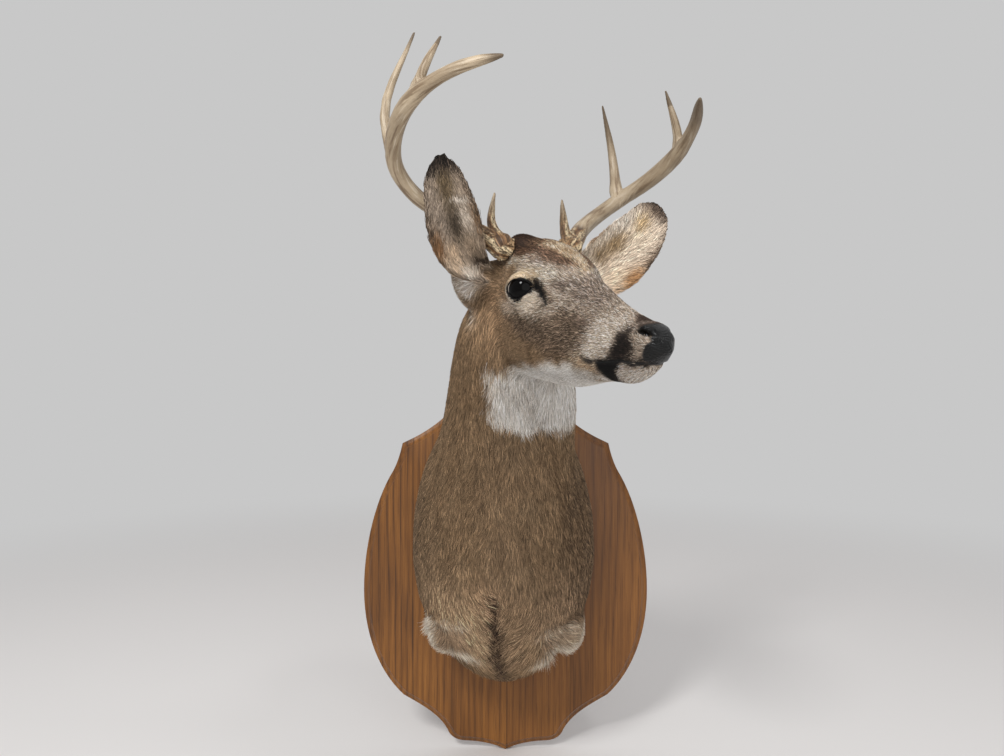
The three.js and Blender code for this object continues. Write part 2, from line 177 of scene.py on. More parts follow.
def copied_nodes(names, label, grown):
    """Copies of CAD nodes in one mesh, with their points merged and their faces moved out a little."""
    copies = []
    for name in names:
        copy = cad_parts[name].copy()
        copy.data = copy.data.copy()
        copy.parent = None
        for key in list(copy.keys()):
            del copy[key]
        bpy.context.scene.collection.objects.link(copy)
        edit_all(copy, bpy.ops.mesh.remove_doubles, threshold=0.02 * MM)
        apply_modifier(copy, "DISPLACE", strength=grown, mid_level=0)
        copies.append(copy)
    select_only(*copies)
    bpy.ops.object.join()
    piece = bpy.context.object
    piece.name = label
    piece.data.name = label
    return piece


def fetched(items, field, width, kind=np.float32):
    """A field of every item, as the rows of an array."""
    values = np.empty(len(items) * width, kind)
    items.foreach_get(field, values)
    return values.reshape(-1, width)


def points_of(mesh):
    return fetched(mesh.vertices, "co", 3).astype(float)


def normals_of(mesh):
    return fetched(mesh.vertex_normals, "vector", 3).astype(float)


def triangles_of(mesh):
    mesh.calc_loop_triangles()
    return fetched(mesh.loop_triangles, "vertices", 3, np.int32)


def move_points(mesh, co):
    mesh.vertices.foreach_set("co", co.astype(np.float32).ravel())
    mesh.update()


def set_attribute(mesh, name, values):
    """Gives each point a number, or a colour where the values have three columns."""
    kind = "FLOAT_COLOR" if values.ndim == 2 else "FLOAT"
    attribute = mesh.attributes.new(name, kind, "POINT")
    if values.ndim == 2:
        values = np.concatenate([values, np.ones((len(values), 1))], axis=1)
        attribute.data.foreach_set("color", values.astype(np.float32).ravel())
    else:
        attribute.data.foreach_set("value", values.astype(np.float32))


def refine(piece, chosen):
    """Divides the faces whose middles are chosen."""
    mesh = piece.data
    wanted = chosen(fetched(mesh.polygons, "center", 3).astype(float))
    select_only(piece)
    bpy.ops.object.mode_set(mode="EDIT")
    bpy.ops.mesh.select_mode(type="FACE")
    bpy.ops.mesh.select_all(action="DESELECT")
    bpy.ops.object.mode_set(mode="OBJECT")
    mesh.polygons.foreach_set("select", wanted)
    bpy.ops.object.mode_set(mode="EDIT")
    bpy.ops.mesh.subdivide(number_cuts=1)
    bpy.ops.object.mode_set(mode="OBJECT")


def finished(piece, slot, material, *nodes):
    """Puts a piece on the mount, in place of the CAD nodes that it stands for."""
    piece.data.materials.clear()
    piece.data.materials.append(material)
    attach(piece, "root")
    if nodes:
        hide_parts(*nodes)


class Net:
    """The edges of a mesh, for evening values out along its surface."""

    def __init__(self, mesh):
        self.a, self.b = fetched(mesh.edges, "vertices", 2, np.int32).T
        self.size = len(mesh.vertices)
        self.degree = np.maximum(self.total(np.ones(self.size)), 1)

    def total(self, column):
        return (np.bincount(self.a, column[self.b], self.size)
                + np.bincount(self.b, column[self.a], self.size))

    def even(self, values, rounds, share=1.0):
        """Moves values towards their neighbours' mean, by a share that may differ from point to point."""
        columns = values if values.ndim == 2 else values[:, None]
        share = np.broadcast_to(share, self.size)[:, None]
        for _ in range(rounds):
            mean = np.stack([self.total(c) for c in columns.T], axis=1) / self.degree[:, None]
            columns = columns + share * 0.6 * (mean - columns)
        return columns if values.ndim == 2 else columns[:, 0]


# ---- camera ----

bpy.ops.object.camera_add(location=(-0.0057, -1.202, 0.2995), rotation=(math.radians(90), 0, 0))
camera = bpy.context.object
camera.name = "camera"
camera.data.lens = 26.18
camera.data.sensor_width = 36
bpy.context.scene.camera = camera


# ---- eyes and lids: places ----

EYE = {"centre": (-11, 45.5, -4), "radius": 18.6, "facing": math.radians(30)}
# How far the lids open from the middle of the eye, in radians, at each direction round it in degrees:
# 0 is down the muzzle and 90 is up.
OPENING = {-180: 0.9, -157: 0.85, -138: 0.71, -114: 0.64, -90: 0.57, -62: 0.51, -24: 0.54, -1: 0.71,
           12: 0.89, 27: 1.06, 40: 0.98, 56: 0.87, 76: 0.76, 107: 0.7, 141: 0.76, 169: 0.82, 180: 0.9}
# The half thickness of the bare edge of the lids, in millimetres.
LID_EDGE = 0.8
# Lines, and the outline of a nostril, over one side of the head.
TEAR_DUCT = [(8, 52, 6), (12, 51, 5), (18, 49, 2), (24, 47, -2), (29, 45, -5), (34, 44, -9)]
MOUTH = [(98, 32, -49), (112, 30, -48), (126, 28, -43), (147, 27, -34), (162, 24, -30), (174, 16, -27),
         (180, 8, -26), (182, 0, -26)]
NOSTRIL = [(157, 1), (162, -1), (172, -1), (174, 2), (170, 5), (160, 4)]
EYE_CREASE = [(-47, 52, 12), (-49, 54, -4), (-43, 56, -17), (-31, 57, -25)]


def opening(angle):
    """The half width of the eye's opening in the direction given in radians."""
    return np.interp(np.degrees(angle), list(OPENING), list(OPENING.values()))


def round_eye(points):
    """Head points about the eyeball on their own side: distance, angle off its facing, direction."""
    across = np.abs(points[:, 1]) - EYE["centre"][1]
    along = points[:, 0] - EYE["centre"][0]
    up = points[:, 2] - EYE["centre"][2]
    turn = EYE["facing"]
    out = along * math.sin(turn) + across * math.cos(turn)
    ahead = along * math.cos(turn) - across * math.sin(turn)
    away = np.sqrt(out ** 2 + ahead ** 2 + up ** 2)
    return away, np.arccos(np.clip(out / np.maximum(away, 1e-6), -1, 1)), np.arctan2(up, ahead)


def round_lids(points):
    """Head points about the eyeball: distance, angle outside the opening of the lids, direction."""
    away, off, angle = round_eye(points)
    return away, off - opening(angle), angle


def from_eye(away, off, angle, side):
    """Head points from distances, angles off the eye's facing and directions round it."""
    x, y, z = EYE["centre"]
    turn = EYE["facing"]
    out, aside = away * np.cos(off), away * np.sin(off)
    ahead = aside * np.cos(angle)
    along = out * math.sin(turn) + ahead * math.cos(turn)
    across = out * math.cos(turn) - ahead * math.sin(turn)
    return np.stack([x + along, side * (y + across), z + aside * np.sin(angle)], -1)


def beside(points):
    """Head points, both sides laid over each other."""
    return points * [1, 0, 1] + np.abs(points) * [0, 1, 0]


# ---- skin ----

# The upper edges of the two flaps of hide at the foot of the brisket, in the mount's millimetres.
LEFT_FLAP_TOP = [(-112, -140, -53), (-99, -170, -44), (-83, -193, -38), (-71, -205, -36), (-60, -214, -38)]
RIGHT_FLAP_TOP = [(50, -206, -52), (69, -190, -50), (95, -154, -57)]

# How deep the skin lies inside each solid, in millimetres, and the sizes of the remeshed faces.
COAT_DEPTH = {"trunk": 5, "neck": 5, "head": 2, "nose": 0, "right_ear": 0.7, "left_ear": 0.7}
SKIN_FACE, ANTLER_FACE = 2.3, 1.3


def part_masks(mesh, rounds=6):
    """How much of each flesh node there is at each point of the skin."""
    points = points_of(mesh)
    best = np.full(len(points), 1e9)
    part = np.zeros(len(points), int)
    for k, name in enumerate(FLESH):
        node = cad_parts[name].data
        tree = BVHTree.FromPolygons([v.co[:] for v in node.vertices], [p.vertices[:] for p in node.polygons])
        away = np.array([(tree.find_nearest(p, 0.03)[3] or 1) for p in points])
        closer = away < best - 1e-5
        best[closer], part[closer] = away[closer], k
    net = Net(mesh)
    return {name: net.even((part == k).astype(float), rounds) for k, name in enumerate(FLESH)}


def make_skin():
    """One skin over trunk, neck, head, nose and ears, lying inside them by the coat's depth."""
    skin = copied_nodes(FLESH + ("right_eye", "left_eye"), "skin", 0.5 * MM)
    apply_modifier(skin, "REMESH", mode="VOXEL", voxel_size=SKIN_FACE * MM, use_smooth_shade=True)
    mesh = skin.data
    mask = part_masks(mesh)
    ears = mask["right_ear"] + mask["left_ear"]
    net = Net(mesh)
    co = net.even(points_of(mesh), 10, 1 - 0.75 * ears - 0.6 * mask["nose"])
    poll = blob(beside(in_head(co)), (-88, 30, 0), (34, 46, 40))
    co = net.even(co, 30, poll * (1 - 0.7 * ears))
    move_points(mesh, co)
    depth = sum(COAT_DEPTH[name] * mask[name] for name in FLESH)
    move_points(mesh, net.even(co - normals_of(mesh) * (depth + 0.5)[:, None] * MM, 2, 1 - ears))
    body = skin.vertex_groups.new(name="body")
    plain = mask["trunk"] + mask["neck"]
    for k in np.flatnonzero(plain > 0.05):
        body.add([int(k)], float(plain[k]), "REPLACE")
    apply_modifier(skin, "DECIMATE", ratio=0.42, vertex_group="body", vertex_group_factor=1)
    skin.vertex_groups.clear()
    return skin


def near_eye(points):
    away, off, _ = round_eye(in_head(points))
    return (away < 27) & (off < 1.75)


def near_mouth(points):
    at = in_head(points)
    flat = beside(at)
    muzzle = (at[:, 0] > 135) & (at[:, 2] > -34)
    return muzzle | (along_side(flat, MOUTH, 6) > 0.3) | (along_side(flat, TEAR_DUCT, 6) > 0.3)


def near_lids(points):
    away, gap, _ = round_lids(in_head(points))
    return (away < 25) & (np.abs(gap) < 0.3)


def sculpt_eye(at):
    """Opens the lids over the eyeballs and folds the skin round them."""
    away, off, angle = round_eye(at)
    gap = off - opening(angle)
    upper = ramp(np.sin(angle), -0.3, 0.5)
    lid = EYE["radius"] + 1.7 - 0.4 * np.cos(angle)
    fold = EYE["radius"] + 2.9 - 1.5 * upper
    target = np.where(gap < -0.02, EYE["radius"] - 3.5, lid)
    target = np.where((gap >= -0.02) & (gap < 0.03), EYE["radius"] + 0.8, target)
    target = target + (fold - lid) * ramp(gap, 0.1, 0.2)
    target = target + 1.6 * ramp(gap, 0.22, 0.4) * upper
    share = (1 - ramp(gap, 0.25, 0.75)) * (away < 32)
    centre = from_eye(0 * away, off, angle, np.sign(at[:, 1]))
    return centre + (at - centre) * (1 + share * (target / np.maximum(away, 1) - 1))[:, None]


def sculpt(skin):
    """The forms of the skin: crown, lids, tear ducts, nostrils, mouth, and the flaps of the brisket."""
    refine(skin, near_eye)
    refine(skin, near_mouth)
    refine(skin, near_lids)
    mesh = skin.data
    net = Net(mesh)
    co = points_of(mesh)
    normal = normals_of(mesh)
    flat = beside(in_head(co))
    rise = 1.5 * ridge(flat, [(-50, 22, 40), (-58, 42, 36)], 15)
    rise -= 1.8 * ridge(flat, [(20, 50, -14), (52, 40, -22)], 10)
    rise += 1.5 * blob(flat, (30, 47, -30), (34, 20, 10))
    place = co / MM
    for crease in ([(-58, -212, -44), (-60, -184, -82), (-50, -160, -102)],
                   [(52, -204, -52), (59, -186, -74), (64, -160, -92)]):
        rise -= 5 * ridge(place, crease, 7)
    for above in (LEFT_FLAP_TOP, RIGHT_FLAP_TOP):
        rise -= 3 * ridge(place, np.array(above) + [0, 0, 9], 6)
        rise += 3 * ridge(place, above, 7)
    co = co + normal * (rise * MM)[:, None]
    notch = 13 * blob(place, (69, -150, -106), (13, 70, 20))
    notch += 7 * blob(place, (-52, -150, -118), (15, 70, 16))
    co[:, 2] += notch * MM
    at = sculpt_eye(in_head(co))
    co = from_head(at)
    move_points(mesh, co)
    normal = normals_of(mesh)
    flat = beside(at)
    cut = 2.4 * along_side(flat, TEAR_DUCT, 2.2) * ramp(flat[:, 0], 8, 14)
    cut += 2.6 * along_side(flat, MOUTH, 1.8)
    cut += 6 * inside(flat[:, 0], flat[:, 2], NOSTRIL, 2.5) * ramp(flat[:, 1], 8, 13)
    cut -= 1.4 * along_side(flat, [(155, 22, 5), (164, 18, 9), (174, 12, 8), (178, 16, 1)], 3)
    cut += 1.2 * along_side(flat, EYE_CREASE, 2)
    co = co - normal * (cut * MM)[:, None]
    away, off, _ = round_eye(in_head(co))
    lids = (away < 30) & (off < 1.7)
    move_points(mesh, net.even(co, 1, np.where(lids, 0.5, 0.0)))
    return skin


# ---- markings ----

class Paint:
    """Colours and grizzling of the hairs at a set of places, built up in layers."""

    def __init__(self, places, colour, grizzle):
        self.places = places
        self.colour = np.tile(np.array(colour) / 255, (len(places), 1))
        self.grizzle = np.full(len(places), float(grizzle))

    def layer(self, mask, colour, grizzle=None):
        self.colour += mask[:, None] * (np.array(colour) / 255 - self.colour)
        if grizzle is not None:
            self.grizzle += mask * (grizzle - self.grizzle)

    def spot(self, share, centre, size, colour, grizzle):
        self.layer(np.clip(share * blob(self.places, centre, size), 0, 1), colour, grizzle)

    def patch(self, share, outline, soft, colour, grizzle):
        """A patch seen from the side: its outline runs through X and Z."""
        x, _, z = self.places.T
        self.layer(share * inside(x, z, outline, soft), colour, grizzle)

    def line(self, share, points, width, colour, grizzle):
        self.layer(share * along_side(self.places, points, width), colour, grizzle)


def body_markings(paint):
    """The trunk and neck; places in the mount's millimetres."""
    layer, spot, patch = paint.layer, paint.spot, paint.patch
    place = paint.places
    x, y, z = place.T
    streaks = place * [1, 1, 0.3]
    layer(0.4 * ramp(patches(place, 60, 3), 0, 1), (138, 114, 88))
    layer(0.35 * ramp(patches(place, 26, 4), 0, 1), (106, 86, 64))
    layer(0.5 * ramp(patches(streaks, 8, 5), 0.1, 1.1), (92, 72, 52))
    layer(0.45 * ramp(patches(streaks, 9, 6), 0.1, 1.1), (158, 132, 102))
    # The right side, away from the light, is painted darker as shade.
    layer(0.7 * ramp(x, 52, 98) * ramp(z, 230, 130) * ramp(z, -70, -20), (88, 70, 52), 0.5)
    layer(0.4 * ramp(-x, 80, 125) * ramp(z, 190, 120) * ramp(z, -60, 0), (102, 84, 65), 0.4)
    layer(ramp(y, -120, -60) * ramp(z, 140, 260), (96, 77, 58))
    # A darker spot of painted shade on the front of the right shoulder.
    spot(0.5, (90, -150, 5), (26, 70, 34), (66, 51, 38), 0.5)
    # The brisket is paler; its right half is painted darker than its left, as shade away from the light.
    brisket = 0.85 * ramp(z, 80, -50) * ramp(y, -120, -200)
    layer(brisket * ramp(x, 60, -60), (196, 165, 131), 0.3)
    layer(brisket * ramp(x, -60, 60), (164, 136, 107), 0.32)
    spot(1, (-26, -250, 8), (20, 20, 22), (206, 167, 131), 0.3)
    # The faces of the flaps, their pale rims, and the pale edges of the lobe between them.
    patch(0.85, [(-118, -44), (-60, -34), (-60, -84), (-86, -98), (-118, -80)], 12, (164, 137, 110), 0.24)
    patch(0.85, [(48, -52), (118, -48), (116, -80), (92, -94), (62, -84)], 12, (186, 162, 136), 0.24)
    rims = along_side(place, [(-58, -173, -88), (-70, -164, -88), (-85, -150, -95),
                              (-98, -145, -90), (-104, -150, -78), (-110, -145, -58)], 9)
    rims += along_side(place, [(118, -130, -56), (112, -140, -73), (95, -151, -88), (72, -155, -85),
                               (62, -158, -93), (50, -156, -104)], 8)
    rims += 0.6 * ridge(place, LEFT_FLAP_TOP, 6) + 0.5 * ridge(place, RIGHT_FLAP_TOP, 6)
    rims += 0.9 * blob(place, (-110, -140, -54), (14, 24, 12))
    layer(np.clip(1.7 * rims * ramp(y, -40, -80), 0, 1), (248, 230, 208), 0.12)
    lobe = along_side(place, [(-50, -170, -100), (-34, -156, -120), (-16, -144, -132)], 7)
    lobe += along_side(place, [(35, -148, -122), (44, -165, -104), (46, -186, -82), (40, -204, -60)], 8)
    layer(0.8 * np.clip(lobe, 0, 1), (178, 148, 114), 0.2)
    # The dark line down the middle of the brisket.
    middle = along_side(place, [(-20, -254, 24), (-25, -250, 10), (-20, -244, -8), (-16, -236, -27),
                                (-12, -218, -61), (-8, -186, -100), (-6, -160, -123), (-2, -130, -134)], 15)
    middle *= 1 - 0.6 * ramp(z, -35, -5)
    middle *= 2 * ramp(patches(place * [1, 1, 2.5], 8, 7), -1.1, 0.1)
    layer(np.clip(middle * ramp(z, 32, 0) * ramp(y, -90, -130), 0, 0.96), (40, 29, 22), 0.6)


def head_markings(paint, at):
    """The head and throat; the paint's places have both sides laid over each other, and 'at' has not."""
    layer, spot, patch, line = paint.layer, paint.spot, paint.patch, paint.line
    flat = paint.places
    x, y, z = flat.T
    # Behind the jaw and at the temple, then the grey of the face, the bridge, the cheek and the muzzle.
    spot(0.75, (-50, 46, -44), (44, 40, 52), (168, 136, 104), 0.3)
    spot(0.8, (-44, 52, 4), (18, 20, 26), (178, 150, 120), 0.25)
    patch(1, [(-20, 25), (-20, 80), (220, 60), (220, -60), (110, -52), (92, -58), (56, -40), (20, -36),
              (-30, -34), (-20, -10)], 20, (155, 137, 119), 0.5)
    patch(0.85, [(36, 12), (44, 24), (60, 40), (90, 30), (102, 16), (94, 4), (76, 1), (56, 4)], 16,
          (105, 91, 79), 0.62)
    patch(0.92, [(-34, -36), (18, -30), (36, -20), (54, -10), (72, -3), (92, -8), (102, -20), (98, -36),
                 (88, -54), (54, -64), (20, -60), (-10, -54)], 24, (86, 71, 57), 0.62)
    spot(0.6, (88, 30, -12), (13, 14, 9), (84, 70, 60), 0.55)
    patch(0.9, [(104, -4), (128, 6), (148, 2), (142, -22), (138, -36), (112, -48), (98, -46), (96, -28)], 28,
          (210, 190, 168), 0.5)
    spot(0.9, (104, 30, -54), (18, 20, 9), (208, 176, 142), 0.3)
    # The crown, the brow and the dark band between them.
    crown = [(-75, 0), (-75, 22), (-50, 26), (10, 22), (44, 8), (44, 0), (44, -9), (-75, -9)]
    crown = inside(x, y, crown, 10)
    layer(crown * ramp(z, 20, 32), (176, 149, 120), 0.5)
    layer(0.6 * crown * ramp(patches(flat * [0.35, 1, 1], 6, 14), 0, 0.9), (106, 80, 56), 0.5)
    patch(0.9 * ramp(y, 24, 32), [(-52, 22), (-50, 30), (-26, 30), (-4, 34), (14, 34), (26, 30), (32, 20),
                                  (18, 14), (0, 18), (-20, 22), (-40, 14)], 7, (172, 156, 136), 0.5)
    spot(0.7, (4, 44, 31), (15, 12, 4), (104, 92, 86), 0.5)
    below = ramp(y + 0.32 * (x + 17), 17, 26) * ramp(y, 3, 9)
    patch(0.85 * below, [(-84, 24), (-84, 62), (-40, 66), (-20, 56), (2, 48), (26, 41), (34, 34), (20, 31),
                         (0, 34), (-20, 32), (-40, 29), (-58, 30)], 9, (72, 53, 40), 0.6)
    spot(1.3, (-55, 24, 46), (28, 24, 20), (44, 30, 21), 0.5)
    spot(0.5, (-52, 30, 34), (20, 20, 8), (40, 27, 20), 0.3)
    # Round the eye.
    away, gap, angle = round_lids(at)
    close = (np.abs(x + 5) < 60) & (z > -60)
    ring = close * ramp(away, 40, 30) * ramp(gap, 0.75, 0.3) * ramp(gap, 0.0, 0.1)
    layer(ring * ramp(np.sin(angle), 0.35, -0.1), (242, 221, 196), 0.2)
    layer(ring * ramp(np.sin(angle), 0.2, 0.6) * ramp(x, 24, 8), (248, 216, 178), 0.2)
    spot(0.8, (29, 46, -17), (14, 14, 8), (152, 136, 118), 0.35)
    spot(0.85, (-24, 57, -30), (16, 14, 7), (224, 200, 176), 0.2)
    line(0.75, [(12, 49, 12), (26, 45, 7), (37, 41, -4)], 4, (104, 86, 70), 0.5)
    patch(ramp(y, 36, 40), [(4, 13), (10, 16), (19, 12), (26, 6), (34, -5), (31, -8), (22, -1), (14, 0),
                            (8, 4)], 3, (17, 13, 11), 0.3)
    # The crease behind the eye is painted darker, as shade in the crease.
    line(0.5, EYE_CREASE, 2.2, (104, 80, 60), 0.3)
    spot(0.8, (40, 33, 17), (8, 7, 4), (62, 50, 44), 0.5)
    # The throat.
    wander = 5 * patches(flat, 15, 17)
    white = [(-50, -117), (-19, -103), (12, -91), (42, -78), (61, -68), (80, -64), (108, -62), (124, -62),
             (190, -34), (190, -130), (60, -190), (-14, -186), (-28, -186), (-38, -177), (-41, -150),
             (-39, -128)]
    white = inside(x + wander, z + wander, white, 12)
    layer(white, (248, 240, 230), 0.16)
    layer(0.3 * white * ramp(patches(flat, 16, 15), 0.1, 0.9), (160, 150, 140), 0.3)
    layer(0.6 * blob(at, (0, 18, -170), (26, 24, 16)), (150, 140, 130), 0.3)
    for strand in ([(-30, 40, -124), (-17, 23, -140), (-8, 4, -156)], [(-10, 3, -145), (-6, -8, -160)],
                   [(-14, 26, -126), (-7, -6, -140), (-4, -20, -152)]):
        layer(0.65 * ridge(at * [1, -1, 1], strand, 7), (138, 124, 110), 0.4)
    # The chin, above the nose, the dark side of the muzzle, the lip and the bare edges.
    patch(1, [(126, -44), (150, -36), (190, -26), (190, -70), (130, -80)], 5, (200, 180, 160), 0.6)
    above = inside(x, y, [(135, 0), (146, 12), (157, 21), (168, 21), (168, -9), (143, -9)], 5)
    layer(above * ramp(z, 0, 6), (62, 49, 41), 0.3)
    patch(ramp(y, 12, 18), [(146, 4), (139, -7), (138, -18), (134, -30), (138, -38), (150, -33), (162, -27),
                            (166, -18), (158, -8), (153, -5), (153, 3)], 13, (28, 22, 18), 0.65)
    patch(1, [(116, -47), (126, -57), (130, -66), (139, -65), (146, -54), (147, -43), (158, -33), (136, -36)],
          7, (8, 6, 6), 0.3)
    line(1, MOUTH, 3, (9, 8, 8), 0.1)
    line(1, [(154, 24, 2), (154, 20, 6), (156, 14, 11), (159, 6, 14), (161, 0, 15)], 3, (166, 150, 136), 0.2)
    layer(ramp(along_side(flat, TEAR_DUCT, 2.6), 0.35, 0.6), (14, 11, 10), 0.1)
    # A painted glint: a pale line along the middle of the wet tear duct.
    painted_glint = along_side(flat, [(16, 49, 4), (22, 47, 0), (25, 46, -2)], 1.2)
    layer(ramp(painted_glint, 0.4, 0.7), (190, 178, 168), 0.1)
    layer(close * ramp(gap, 0.085, 0.035), (13, 11, 10), 0.05)


def ear_foot_markings(paint):
    """The fold that runs down behind the cheek, and the tufts under each ear."""
    fold = [(-90, 98, -8), (-90, 90, -28), (-90, 78, -48), (-88, 66, -60)]
    paint.layer(0.9 * ridge(paint.places, fold, 12), (200, 184, 168), 0.35)
    paint.spot(0.9, (-79, 71, -34), (11, 13, 10), (92, 74, 56), 0.3)
    paint.spot(1.3, (-76, 77, -20), (15, 16, 12), (252, 238, 224), 0.25)


def leather(at):
    """1 on the bare skin of the nose."""
    outline = [(157, 1), (160, 7), (164, 12), (174, 15.5), (194, 6), (194, -28), (176, -28), (173, -19),
               (174, -8), (177, -3), (174, 1), (166, -2), (158, -2)]
    return inside(at[:, 0], at[:, 2], outline, 3)


EAR_RIBS = {"right": [(-84, -46, -14), (-86, -84, 8), (-84, -110, 56), (-80, -144, 125)],
            "left": [(-82, 46, -13), (-65, 105, 9), (-51, 142, 63), (-44, 158, 111)]}
EAR_FACES = {"right": unit(np.array([0.66, -0.6, 0.4])), "left": unit(np.array([0.78, -0.4, 0.45]))}
EAR_HALF_WIDTH = {"right": [22, 27, 31, 31, 30, 22, 10, 4], "left": [22, 32, 37, 36, 33, 22, 11, 4]}
# The patches inside each ear, each laid over the last: how far along the ear and how many millimetres
# across it the patch lies (+ is the lower, outer side), how far it reaches both ways, and its colour.
# The dark patches down the middle of the right ear's hollow and deep in it near its root, and the olive-tan
# ones on the inner side of the left ear's hollow, are partly the hair's colour and partly painted shade of
# the cup.
EAR_PATCHES = {
    "right": [
        (0.62, 19, 0.30, 11, (156, 140, 124)),
        (0.82, 1, 0.14, 8, (104, 88, 66)),
        (0.58, -1, 0.13, 10, (68, 58, 47)),
        (0.64, -16, 0.09, 7, (186, 172, 156)),
        (0.74, -15, 0.014, 12, (196, 184, 170)),
        (0.62, -30, 0.15, 5, (122, 94, 68)),
        (0.43, -14, 0.08, 10, (150, 131, 110)),
        (0.38, 12, 0.09, 9, (182, 157, 130)),
        (0.48, 28, 0.11, 6, (130, 96, 66)),
        (0.23, -9, 0.04, 8, (50, 40, 32)),
        (0.25, 15, 0.05, 9, (200, 186, 170))],
    "left": [
        (0.60, -22, 0.22, 10, (218, 204, 188)),
        (0.91, 7, 0.07, 20, (92, 77, 65)),
        (0.74, -4, 0.08, 7, (196, 168, 128)),
        (0.50, -11, 0.09, 9, (154, 130, 98)),
        (0.64, 7, 0.08, 9, (216, 197, 174)),
        (0.66, 33, 0.14, 7, (120, 102, 86)),
        (0.43, 33, 0.10, 10, (170, 127, 86)),
        (0.36, 16, 0.07, 10, (214, 192, 166)),
        (0.45, -35, 0.10, 5, (130, 100, 70)),
        (0.36, -13, 0.07, 9, (140, 118, 90))],
}


def ear_place(at, side):
    """How far along the ear from its root, 0 to 1, and how far across it in millimetres, + outwards."""
    rib = np.array(EAR_RIBS[side], float)
    ends = np.linspace(0, 1, len(rib))
    fine = np.stack([np.interp(np.linspace(0, 1, 40), ends, c) for c in rib.T], axis=1)
    nearest = np.argmin(((at[:, None] - fine[None]) ** 2).sum(-1), axis=1)
    along = unit(np.gradient(fine, axis=0))[nearest]
    across = np.cross(along, EAR_FACES[side]) * SIDES[side]
    return nearest / 39, ((at - fine[nearest]) * unit(across)).sum(1)


def ear_hollow(normal, side):
    """1 where the skin faces out of the ear's hollow."""
    return ramp(normal @ HEAD_AXES.T @ EAR_FACES[side], -0.1, 0.35)


def ear_markings(paint, at, normal, side, mask):
    """The ears; where the two differ, the first value is the right ear's."""
    left = side == "left"
    along, across = ear_place(at, side)
    hollow = mask * ear_hollow(normal, side)
    paint.layer(mask, (130, 107, 83), 0.25)
    paint.layer(0.7 * mask * ramp(along, 0.24, 0.08), (178, 152, 122), 0.2)
    paint.layer(hollow, ((144, 128, 111), (214, 195, 174))[left], 0.16)
    for middle, off, reach, width, colour in EAR_PATCHES[side]:
        spot = np.exp(-((along - middle) / reach) ** 2 - ((across - off) / width) ** 2)
        paint.layer(np.clip(1.25 * hollow * spot, 0, 1), colour, 0.15)
    half = np.interp(along, [0, 0.15, 0.35, 0.65, 0.75, 0.87, 0.96, 1], EAR_HALF_WIDTH[side])
    edge = ramp(np.abs(across) / half, 0.86, 0.97)
    paint.layer(0.8 * mask * edge * ramp(along, 0.45, 0.6), (72, 58, 46), 0.3)
    tip = 0.85 * ramp(along, 0.87, 0.97) if left else ramp(along, 0.85, 0.94)
    paint.layer(mask * tip, ((38, 31, 26), (62, 51, 43))[left], 0.5)


def linear(colour):
    colour = np.clip(colour, 0, 1)
    return np.where(colour < 0.04045, colour / 12.92, ((colour + 0.055) / 1.055) ** 2.4)


def markings(points, normal, mask):
    """Colour and grizzling of the coat at points of the skin."""
    paint = Paint(points / MM, (131, 106, 79), 0.27)
    body_markings(paint)
    at = in_head(points)
    on_head = np.flatnonzero((at[:, 2] > -195) & (at[:, 0] > -130))
    spots = at[on_head]
    spots = spots + 2.2 * np.stack([patches(spots, 9, seed) for seed in (11, 12, 13)], axis=1)
    head = Paint(beside(spots), (0, 0, 0), 0)
    head.colour, head.grizzle = paint.colour[on_head], paint.grizzle[on_head]
    head_markings(head, spots)
    paint.colour[on_head], paint.grizzle[on_head] = head.colour, head.grizzle
    for side in SIDES:
        ear_markings(paint, at, normal, side, mask[side + "_ear"])
    paint.places = beside(at)
    ear_foot_markings(paint)
    return paint.colour, paint.grizzle


# ---- shaders ----

class Value:
    """A shader socket that can be used in sums."""

    def __init__(self, shader, socket):
        self.shader, self.socket = shader, socket

    def maths(self, operation, *values):
        return self.shader.node("Math", {"operation": operation}, dict(enumerate(values)))

    def __add__(self, other):
        return self.maths("ADD", self, other)

    def __sub__(self, other):
        return self.maths("SUBTRACT", self, other)

    def __rsub__(self, other):
        return self.maths("SUBTRACT", other, self)

    def __mul__(self, other):
        return self.maths("MULTIPLY", self, other)

    def __abs__(self):
        return self.maths("ABSOLUTE", self)

    __radd__, __rmul__ = __add__, __mul__


def paint_tone(red, green, blue):
    return tuple(float(c) for c in linear(np.array([red, green, blue]) / 255))


